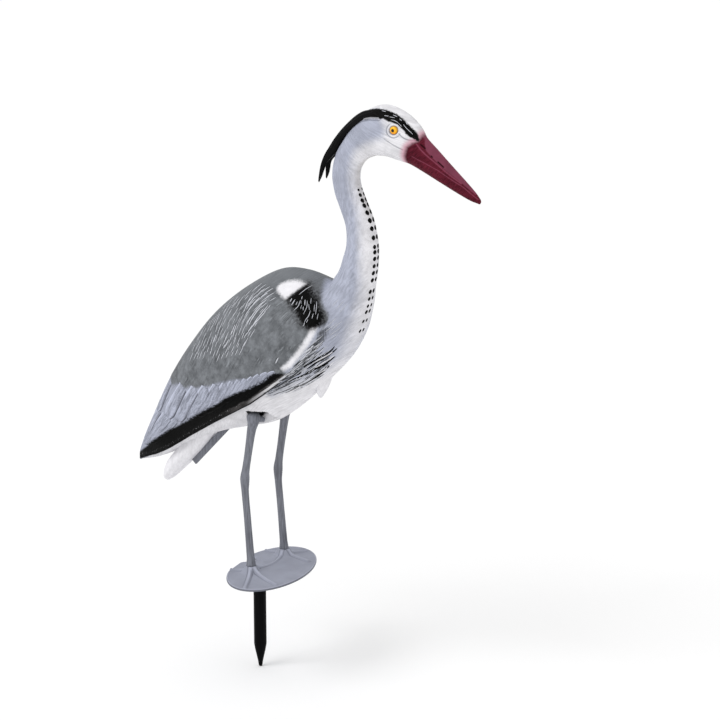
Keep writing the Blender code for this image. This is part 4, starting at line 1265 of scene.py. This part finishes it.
def lay_leaves(name, lines, material, skin, depth=None, **shape):
    """One piece of leaves, each (line, half width), laid on both sides of the body."""
    rings, weaves = [], []
    for side in (-1, 1):
        for line, half_width in lines:
            ring, weave = blade(skin, line, half_width, side, **shape)
            rings.append(ring)
            weaves.append(weave)
    piece = woven_many(name, rings, weaves, depth)
    finish_piece(piece, finish(material), "painted_plumage")
    return piece


def stripe_depth(points):
    """How deep each point lies inside the wing's black stripe in side view."""
    return area_depth(points[:, [0, 2]], STRIPE_UPPER + ((140, 300), (0, 180), (-203, 90)))


def make_feathers():
    sizes, _ = settings()
    skin = body_surface()
    height = sizes.feather_height / MM
    lay_leaves("primary_feathers", [((a, b, c), w) for a, b, c, w in PRIMARIES], "wing_feather", skin,
        stripe_depth, rows=18, across=7,
               height=height, blunt=0.25, shaft=0.12, lean=0.12)
    lay_leaves("secondary_feathers", [((a, b, c), w) for a, b, c, w in SECONDARIES[::-1]], "wing_feather",
        skin, stripe_depth, rows=18,
               across=7, height=height * 1.2, blunt=0.28, shaft=0.12, lean=0.16)


def beside(line, offset):
    """The same line, moved sideways."""
    line = np.asarray(line, float)
    onward = np.gradient(line, axis=0)
    onward /= np.hypot(*onward.T)[:, None]
    return line + np.stack([onward[:, 1], -onward[:, 0]], axis=1) * offset


def drawn_out(line, times):
    """The same line, longer at both ends."""
    line = np.asarray(line, float)
    reach = (times - 1) / 2 * np.hypot(*(line[-1] - line[0]))
    first, last = line[0] - line[1], line[-1] - line[-2]
    return np.vstack([line[0] + first / np.hypot(*first) * reach, line[1:-1],
        line[-1] + last / np.hypot(*last) * reach])


def plume_lines(count, outline, apart, lengths, seed):
    """Short strokes scattered evenly over an area, each along the plumes' run."""
    random = np.random.default_rng(seed)
    low, high = np.min(outline, axis=0), np.max(outline, axis=0)
    starts, lines = [], []
    for spot in low + random.random((count * 60, 2)) * (high - low):
        if len(lines) == count:
            break
        near = min((math.hypot(*(spot - s)) for s in starts), default=99)
        if near < apart or area_depth(spot[None], outline)[0] < 0:
            continue
        starts.append(spot)
        line, length = [spot], lengths[0] + (lengths[1] - lengths[0]) * random.random()
        for _ in range(3):
            slope = flow_slope(line[-1][None])[0]
            line.append(line[-1] - np.array((slope, 1)) / math.hypot(slope, 1) * length / 3)
        lines.append(line)
    return lines


def make_plumes():
    sizes, _ = settings()
    skin = body_surface()
    wide = sizes.stroke_width / MM / 2
    short = plume_lines(sizes.short_plumes, PLUME_AREA, 6.5, (9, 18), 7)
    light = [(line, wide * 1.25) for line in LONG_PLUMES] + [(line, wide * 0.75) for line in short]
    lay_leaves("plume_strokes", light, "plume_stroke", skin, rows=8, height=0.28)
    dark = [(beside(line, wide * 1.9), wide * 1.1) for line in LONG_PLUMES] + [(beside(line, wide * 1.4),
        wide * 0.7) for line in short]
    lay_leaves("plume_shadows", dark, "shadow_stroke", skin, rows=8, height=0.2)
    def breast(lines):
        kept = [(off_middle(skin, line, BREAST_CLEAR), half) for line, half in lines]
        return [(line, half) for line, half in kept if len(line) > 1]

    dark = [(line, wide * 0.62) for line in plume_lines(BREAST_HAIRS, BREAST_AREA, 2.6, (14, 32), 3)]
    light = [(line, wide * 0.66) for line in plume_lines(BREAST_HAIRS, BREAST_AREA, 2.6, (14, 32), 5)]
    lay_leaves("breast_plumes", breast(BREAST_LINES), "black_stroke", skin, rows=14, height=0.34)
    lay_leaves("breast_shadows", breast(dark), "shadow_stroke", skin, rows=8, height=0.2)
    lay_leaves("breast_hairs", breast(light), "plume_stroke", skin, rows=8, height=0.22)
    lay_leaves("breast_lights", breast(BREAST_LIGHTS), "white_stroke", skin, rows=14, height=0.38)
    lay_leaves("neck_lines", [(line, 0.32) for line in NECK_STROKES], "plume_stroke", skin, rows=8,
        height=0.15)
    lay_leaves("brow_lines", [(line, 0.27) for line in BROW_STROKES], "plume_stroke", skin, rows=8,
        height=0.2)
    fine = [(drawn_out(line, 1.5), half * 0.62) for line, half in BLACK_PATCH_STROKES]
    lay_leaves("shoulder_lines", fine, "plume_stroke", skin, rows=10, height=0.2)
    dots = woven_many("neck_spots", [neck_spot(skin, x, z, size, side) for side in (-1, 1) for x, z,
        size in NECK_DOTS])
    finish_piece(dots, finish("black_stroke"), "painted_plumage")


def neck_spot(skin, x, z, size, side, rows=7, sides=10):
    """A small drop of paint on the front of the neck."""
    made = []
    turn = np.linspace(0, 2 * math.pi, sides, endpoint=False)
    for i in range(rows):
        share = i / (rows - 1)
        radius = 2.5 * size * math.sin(math.pi * share) ** 0.6 if 0 < i < rows - 1 else 0.0
        row = []
        for a in turn:
            across, level = side * DOT_OFFSET + radius * math.cos(a), z + size * 2.6 * (1 - 2 * share)
            place, normal, _, _ = skin.tree.ray_cast(Vector((x + 60, across, level)), Vector((-1, 0, 0)))
            row.append(np.array(place) + np.array(normal) * (0.14 + 0.22 * math.sin(a) * (radius > 0)))
        made.append(row)
    return np.array(made)


# Crest and eyes

def make_crest():
    """The crest: on each side a band from the crown to the nape that runs out in a hanging plume."""
    sides = 34
    turn = np.linspace(0, 2 * math.pi, sides, endpoint=False)
    for side, name in ((-1, "right"), (1, "left")):
        stations = np.array(CREST_BAND, float)
        if side > 0:
            hang = 1 - ramp(stations[:, 1], stations[-1, 1], PLUME_HANG_Z)
            stations[:, 0:4] += hang[:, None] * (PLUME_SHORT_SHIFT, PLUME_SHORT_LIFT, PLUME_SHORT_SHIFT,
                PLUME_SHORT_LIFT)
        places = section_places(stations)
        path = hermite_at(stations, places, np.linspace(0, places[-1], 150))
        outer = np.stack([path[:, 0], side * path[:, 4], path[:, 1]], axis=-1)
        inner = np.stack([path[:, 2], side * path[:, 5], path[:, 3]], axis=-1)
        middle, across = (outer + inner) / 2, (inner - outer) / 2
        lift = np.cross(np.gradient(middle, axis=0), across)
        lift /= np.linalg.norm(lift, axis=1, keepdims=True)
        place = np.linspace(0, 1, len(path))[:, None]
        strand = (1 + 0.12 * np.sin(turn * 9 + place * 9) + 0.05 * np.sin(turn * 15 - place * 22))[...,
            None]
        rows = middle[:, None] + across[:, None] * np.cos(turn)[None, :, None] \
            + lift[:, None] * (path[:, 6:7] / 2 * np.sin(turn)[None])[..., None] * strand
        end = rows[-1].mean(0)
        band = woven("crest_plume_" + name, rows, rows[0].mean(0), end - (0, 0, CREST_TIP_DROP))
        finish_piece(band, finish("crest_gloss"), "black_plume", "crest_plumes")


def make_eyes():
    radius = settings()[0].eye_radius / MM
    stations = np.array(EYE_PROFILE)
    path = smooth_rows(np.column_stack([stations[:, 0], stations[:, 1] * radius]), 34)
    turn = np.linspace(0, 2 * math.pi, 40, endpoint=False)
    for side, name in ((-1, "right"), (1, "left")):
        rows = np.stack([EYE[0] + path[:, 1:2] * np.cos(turn), side * (EYE_SEAT + path[:, 0:1]) + 0 * turn,
                         EYE[1] + path[:, 1:2] * np.sin(turn)], axis=-1)
        bead = woven(name + "_eye_bead", rows, (EYE[0], side * (EYE_SEAT - EYE_DEPTH), EYE[1]),
            (EYE[0], side * (EYE_SEAT + 2.74), EYE[1]))
        finish_piece(bead, finish("eye_enamel"), "eye_enamel", name + "_eye")


# Legs, plate and spike

def leg_stations(knee_z):
    """Levels of a leg from ankle to hip: x, z, radius."""
    shin = np.array(ANKLE) - (KNEE_X, knee_z)
    thigh = np.array(HIP) - (KNEE_X, knee_z)
    near = 17
    return (
        (ANKLE[0], ANKLE[1] - 0.7, LEG_RADIUS + 1.2), (ANKLE[0] - 0.2, ANKLE[1] + 4, LEG_RADIUS + 0.7),
        (ANKLE[0] - 0.7, ANKLE[1] + 11, LEG_RADIUS), (KNEE_X + shin[0] * 0.45, knee_z + shin[1] * 0.45,
        LEG_RADIUS - 0.4),
        (KNEE_X - shin[0] * near / shin[1] - 0.4, knee_z - near, LEG_RADIUS - 0.3),
        (KNEE_X + 0.7, knee_z - 6, KNEE_RADIUS - 0.9),
        (KNEE_X + 0.7, knee_z + 1, KNEE_RADIUS - 0.5), (KNEE_X + 1.2, knee_z + 8, KNEE_RADIUS - 1.0),
        (KNEE_X + thigh[0] * near / thigh[1], knee_z + near, LEG_RADIUS),
        (KNEE_X + thigh[0] * 0.5, knee_z + thigh[1] * 0.5, LEG_RADIUS),
        (KNEE_X + thigh[0] * 0.78, knee_z + thigh[1] * 0.78, LEG_RADIUS + 0.8),
        (HIP[0] - 0.5, HIP[1] - 9, HIP_RADIUS - 1.4),
        (HIP[0], HIP[1] - 2, HIP_RADIUS), (HIP[0], HIP[1] + 3, HIP_RADIUS - 0.6),
        (HIP[0], HIP[1] + 6, HIP_RADIUS - 3),
        (HIP[0], HIP_KNOB_TOP, 1.2),
    )


def make_legs():
    turn = np.linspace(0, 2 * math.pi, 28, endpoint=False)
    for side, name, knee_z in ((-1, "right", RIGHT_KNEE_Z), (1, "left", LEFT_KNEE_Z)):
        path = smooth_rows(leg_stations(knee_z), 150)
        z = path[:, 1:2]
        grooves = 1 + 0.045 * np.sin(turn * 5 + 0.02 * z) + 0.02 * np.sin(turn * 9 - 0.05 * z)
        wrinkles = 0.3 * np.sin(z * 1.9) * bell(z, knee_z, 17)
        radius = path[:, 2:3] * grooves + wrinkles * np.cos(turn * 2 + 0.4)
        rows = np.stack([path[:, 0:1] + radius * np.cos(turn), side * LEG_SPREAD + radius * np.sin(turn),
            z + 0 * turn], axis=-1)
        leg = woven(name + "_leg_skin", rows, rows[0].mean(0), rows[-1].mean(0) + (0, 0, 0.2))
        finish_piece(leg, finish("leg_plastic"), "leg_plastic", name + "_leg")
        start, end = np.array((HIP[0], side * LEG_SPREAD, HIP[1] - 1)), np.array((HIP[0] + 4,
            side * INNER_LOBE, HIP[1] - 8))
        along = (end - start) / np.linalg.norm(end - start)
        across = np.cross(along, (0, 0, 1))
        across /= np.linalg.norm(across)
        over = np.cross(across, along)
        share = np.linspace(0, 1, 14)
        wide = 6.5 + (3.2 - 6.5) * share
        rows = (start + (end - start) * share[:, None])[:, None] + wide[:, None, None] * (
            across * np.cos(turn)[:, None] + over * np.sin(turn)[:, None])[None]
        hip = woven(name + "_hip_lobe", rows, start, end + along * 1.2)
        finish_piece(hip, finish("leg_plastic"), "leg_plastic", name + "_leg")


def plate_spot(turn, share):
    """A point of the plate's oval, at a share of its radius."""
    v = PLATE_HALF[1] * np.sin(turn)
    notch = NOTCH_DEPTH * np.clip(1 - np.abs((v - NOTCH_AT) / NOTCH_HALF) ** 1.2, 0, 1) * (np.cos(turn) < 0)
    u = np.maximum(PLATE_HALF[0] * np.cos(turn), notch - PLATE_BACK) * share
    v = v * share
    c, s = math.cos(PLATE_TURN), math.sin(PLATE_TURN)
    return PLATE_CENTRE[0] + u * c - v * s, PLATE_CENTRE[1] + u * s + v * c


def plate_top(x, y, share):
    """The plate's plain upper face: a rim that rises to the ankles as a low tent."""
    tent = np.max([1 - ramp(np.hypot((x - ANKLE[0]) / 42, (y - foot * LEG_SPREAD) / 46), 0,
        1) for foot in (-1, 1)], axis=0)
    return PLATE_WALL + PLATE_RISE * (1 - ramp(share, 0.4, 1.0)) * (0.35 + 0.65 * tent)


def plate_feet(x, y, base):
    """The upper face with its toes, webs and ankle lumps, and 1 along a ridge's top and -1 in the grooves
    beside it, where the paint puts a painted highlight and painted shade."""
    spots = np.stack([x.ravel(), y.ravel()], axis=1)
    height, relief = base.copy(), 0 * base
    for (start, end, wide), rise in [(toe, 2.5) for toe in TOES] + [(web, 1.7) for web in WEBS]:
        a, b = np.array(start, float), np.array(end, float)
        share = np.clip(((spots - a) @ (b - a)) / ((b - a) @ (b - a)), 0, 1)
        gap = np.hypot(*(spots - a - share[:, None] * (b - a)).T).reshape(x.shape)
        share = share.reshape(x.shape)
        ridge = rise * (1 - ramp(gap, 0.25 * wide, 0.85 * wide)) + 6.5 * (1 - ramp(share, 0,
            0.42)) * (1 - ramp(gap, 0, 1.3 * wide))
        groove = -0.45 * bell(gap, 1.1 * wide, 0.45 * wide) * ramp(share, 0.1, 0.3)
        height = np.maximum(height, base + np.where(gap < 1.6 * wide, ridge + groove, 0))
        # top marks a ridge's top for a painted highlight, side the grooves beside it for painted shade.
        top = (1 - ramp(gap, 0.3 * wide, 0.7 * wide)) * (0.5 + 0.5 * (1 - share))
        side = bell(gap, 0.95 * wide, 0.4 * wide) * (0.4 + 0.6 * (1 - share))
        relief = np.where(top > 0.02, np.maximum(relief, top),
            np.where(relief > 0, relief, np.minimum(relief, -side)))
    for foot in (-1, 1):
        away = np.hypot(x - ANKLE[0], y - foot * LEG_SPREAD)
        height = np.maximum(height, base + (ANKLE_TOP - base) * (1 - ramp(away, 6.5, 15)))
    return height, relief


def make_plate():
    turn = np.linspace(0, 2 * math.pi, 360, endpoint=False)
    top_share = np.linspace(0.02, 0.99, 104)[:, None]
    x, y = plate_spot(turn, top_share)
    lip = 0.5 * bell(top_share, 0.972, 0.016)
    height, ridges = plate_feet(x, y, plate_top(x, y, top_share * np.ones_like(turn)))
    top = np.stack([x, y, height + lip], axis=-1)
    rim_share = np.array((0.995, 1.0, 1.0, 0.995))[:, None]
    x, y = plate_spot(turn, rim_share)
    level = np.array((PLATE_WALL - 0.25, PLATE_WALL - 0.8, 0.8, 0.2))[:, None] + 0 * turn
    rim = np.stack([x, y, level], axis=-1)
    low_share = np.linspace(0.98, 0.02, 26)[:, None]
    x, y = plate_spot(turn, low_share)
    under = (plate_top(x, y, low_share * np.ones_like(turn)) - PLATE_WALL) * ramp(np.hypot(x, y), 12, 14)
    low = np.stack([x, y, under], axis=-1)
    rows = np.concatenate([top, rim, low])
    # Marks for the plate's painted light: a painted highlight along the rim's top edge and painted shade on
    # its wall, a painted highlight on the toe ridges and painted shade in their grooves.
    rim_light_and_shade = np.concatenate([ramp(top_share, 0.955, 0.985), rim_share * 0 + 2.0, low_share * 0])
    ridge_light_and_shade = np.vstack([ridges, np.zeros((len(rows) - len(ridges), len(turn)))])
    plate = woven("plate_skin", rows, top[0].mean(0), low[-1].mean(0),
        {"rim": rim_light_and_shade + 0 * turn, "ridge": ridge_light_and_shade})
    finish_piece(plate, finish("plate_plastic"), "plate_plastic", "foot_plate")


def make_spike():
    straight = SPIKE_LENGTH - SPIKE_TAPER
    z = np.concatenate([[-0.3, -0.5, -1.0], np.linspace(-1.6, -straight, 40),
        np.linspace(-straight - 1, -SPIKE_LENGTH + 1.6, 30)])
    taper = ramp((-straight - z) / (SPIKE_TAPER - 1.6), 0.0,
        1.0) * 0.35 + 0.65 * np.clip((-straight - z) / (SPIKE_TAPER - 1.6), 0, 1)
    radius = SPIKE_RADIUS + (SPIKE_TIP_RADIUS - SPIKE_RADIUS) * taper
    radius[:2] = SPIKE_RADIUS - 0.6, SPIKE_RADIUS - 0.2
    z = np.concatenate([z, [-SPIKE_LENGTH + 0.7, -SPIKE_LENGTH + 0.2]])
    radius = np.concatenate([radius, [2.1, 1.2]])
    turn = np.linspace(0, 2 * math.pi, 48, endpoint=False)
    rows = np.stack([radius[:, None] * np.cos(turn), radius[:, None] * np.sin(turn), z[:, None] + 0 * turn],
        axis=-1)
    spike = woven("spike_skin", rows, (0, 0, -0.3), (0, 0, -SPIKE_LENGTH))
    finish_piece(spike, finish("spike_plastic"), "spike_plastic", "ground_spike")


# Stage

def area_light(name, place, aim, size, power):
    lone()
    bpy.ops.object.light_add(type="AREA", location=place)
    light = bpy.context.object
    light.name = name
    light.data.shape = "SQUARE"
    light.data.size = size
    light.data.energy = power
    light.rotation_euler = (Vector(aim) - Vector(place)).to_track_quat("-Z", "Y").to_euler()


def make_stage():
    lone()
    bpy.ops.mesh.primitive_plane_add(size=24.0, location=(0, 0, -SPIKE_LENGTH * MM))
    floor = bpy.context.object
    floor.name = "studio_floor"
    pale, wires, shader = new_paint("studio_floor", 0.9, specular=0.0)
    tone = wires.noise(wires.place(), 3.0)
    wires.feed(shader["Base Color"], wires.blend(tone, (0.955, 0.955, 0.955), (0.97, 0.97, 0.97)))
    floor.data.materials.append(pale)
    world = bpy.data.worlds.new("studio")
    world.use_nodes = True
    world.node_tree.nodes["Background"].inputs["Color"].default_value = (1, 1, 1, 1)
    world.node_tree.nodes["Background"].inputs["Strength"].default_value = 0.88
    bpy.context.scene.world = world
    lone()
    bpy.ops.object.light_add(type="SUN", location=SUN_PLACE)
    sun = bpy.context.object
    sun.name = "window"
    sun.data.energy, sun.data.angle = SUN_POWER, math.radians(SUN_SPREAD_DEGREES)
    sun.rotation_euler = (Vector((0, 0, 0)) - sun.location).to_track_quat("-Z", "Y").to_euler()
    area_light("softbox", (-0.4, -2.4, 2.2), (0, 0, 0.4), 1.0, 9)
    bpy.ops.object.camera_add(location=CAMERA_PLACE)
    camera = bpy.context.object
    camera.name = "camera"
    camera.rotation_euler = Vector(CAMERA_LOOK).to_track_quat("-Z", "Y").to_euler()
    camera.data.lens, camera.data.sensor_width = CAMERA_LENS, 36.0
    camera.data.clip_start = 0.05
    bpy.context.scene.camera = camera
    bpy.context.scene.view_settings.view_transform = "Standard"


# Operators

class HERON_OT_body(bpy.types.Operator):
    """Model and paint the body with its tufts and tail rib"""
    bl_idname = "heron.body"
    bl_label = "Body"

    def execute(self, context):
        make_body()
        return {"FINISHED"}


class HERON_OT_feathers(bpy.types.Operator):
    """Lay the wing feathers on the body"""
    bl_idname = "heron.feathers"
    bl_label = "Wing Feathers"

    def execute(self, context):
        make_feathers()
        return {"FINISHED"}


class HERON_OT_plumes(bpy.types.Operator):
    """Lay the painted plume strokes, breast lines and neck spots on the body"""
    bl_idname = "heron.plumes"
    bl_label = "Plume Strokes"

    def execute(self, context):
        make_plumes()
        return {"FINISHED"}


class HERON_OT_crest(bpy.types.Operator):
    """Model the black crest"""
    bl_idname = "heron.crest"
    bl_label = "Crest"

    def execute(self, context):
        make_crest()
        return {"FINISHED"}


class HERON_OT_eyes(bpy.types.Operator):
    """Model the eye beads"""
    bl_idname = "heron.eyes"
    bl_label = "Eyes"

    def execute(self, context):
        make_eyes()
        return {"FINISHED"}


class HERON_OT_legs(bpy.types.Operator):
    """Model the legs"""
    bl_idname = "heron.legs"
    bl_label = "Legs"

    def execute(self, context):
        make_legs()
        return {"FINISHED"}


class HERON_OT_plate(bpy.types.Operator):
    """Model the foot plate"""
    bl_idname = "heron.plate"
    bl_label = "Foot Plate"

    def execute(self, context):
        make_plate()
        return {"FINISHED"}


class HERON_OT_spike(bpy.types.Operator):
    """Model the ground spike"""
    bl_idname = "heron.spike"
    bl_label = "Ground Spike"

    def execute(self, context):
        make_spike()
        return {"FINISHED"}


class HERON_OT_stage(bpy.types.Operator):
    """Set the floor, the light and the camera"""
    bl_idname = "heron.stage"
    bl_label = "Stage"

    def execute(self, context):
        make_stage()
        return {"FINISHED"}


STEPS = (HERON_OT_body, HERON_OT_feathers, HERON_OT_plumes, HERON_OT_crest, HERON_OT_eyes, HERON_OT_legs,
    HERON_OT_plate,
         HERON_OT_spike, HERON_OT_stage)


class HERON_PT_panel(bpy.types.Panel):
    """Lists the heron's steps and settings"""
    bl_idname = "HERON_PT_panel"
    bl_label = "Garden Heron Decoy"
    bl_space_type = "VIEW_3D"
    bl_region_type = "UI"
    bl_category = "Heron"

    def draw(self, context):
        for group in settings():
            box = self.layout.box()
            for name in group.__annotations__:
                box.prop(group, name)
        for step in STEPS:
            self.layout.operator(step.bl_idname)


CLASSES = (HeronSizes, HeronColours, *STEPS, HERON_PT_panel)


def register():
    for kind in CLASSES:
        bpy.utils.register_class(kind)
    bpy.types.Scene.heron_sizes = PointerProperty(type=HeronSizes)
    bpy.types.Scene.heron_colours = PointerProperty(type=HeronColours)


def unregister():
    del bpy.types.Scene.heron_colours
    del bpy.types.Scene.heron_sizes
    for kind in reversed(CLASSES):
        bpy.utils.unregister_class(kind)


def main():
    """Builds the heron step by step."""
    register()
    for step in STEPS:
        group, name = step.bl_idname.split(".")
        getattr(getattr(bpy.ops, group), name)()


if __name__ == "__main__":
    main()
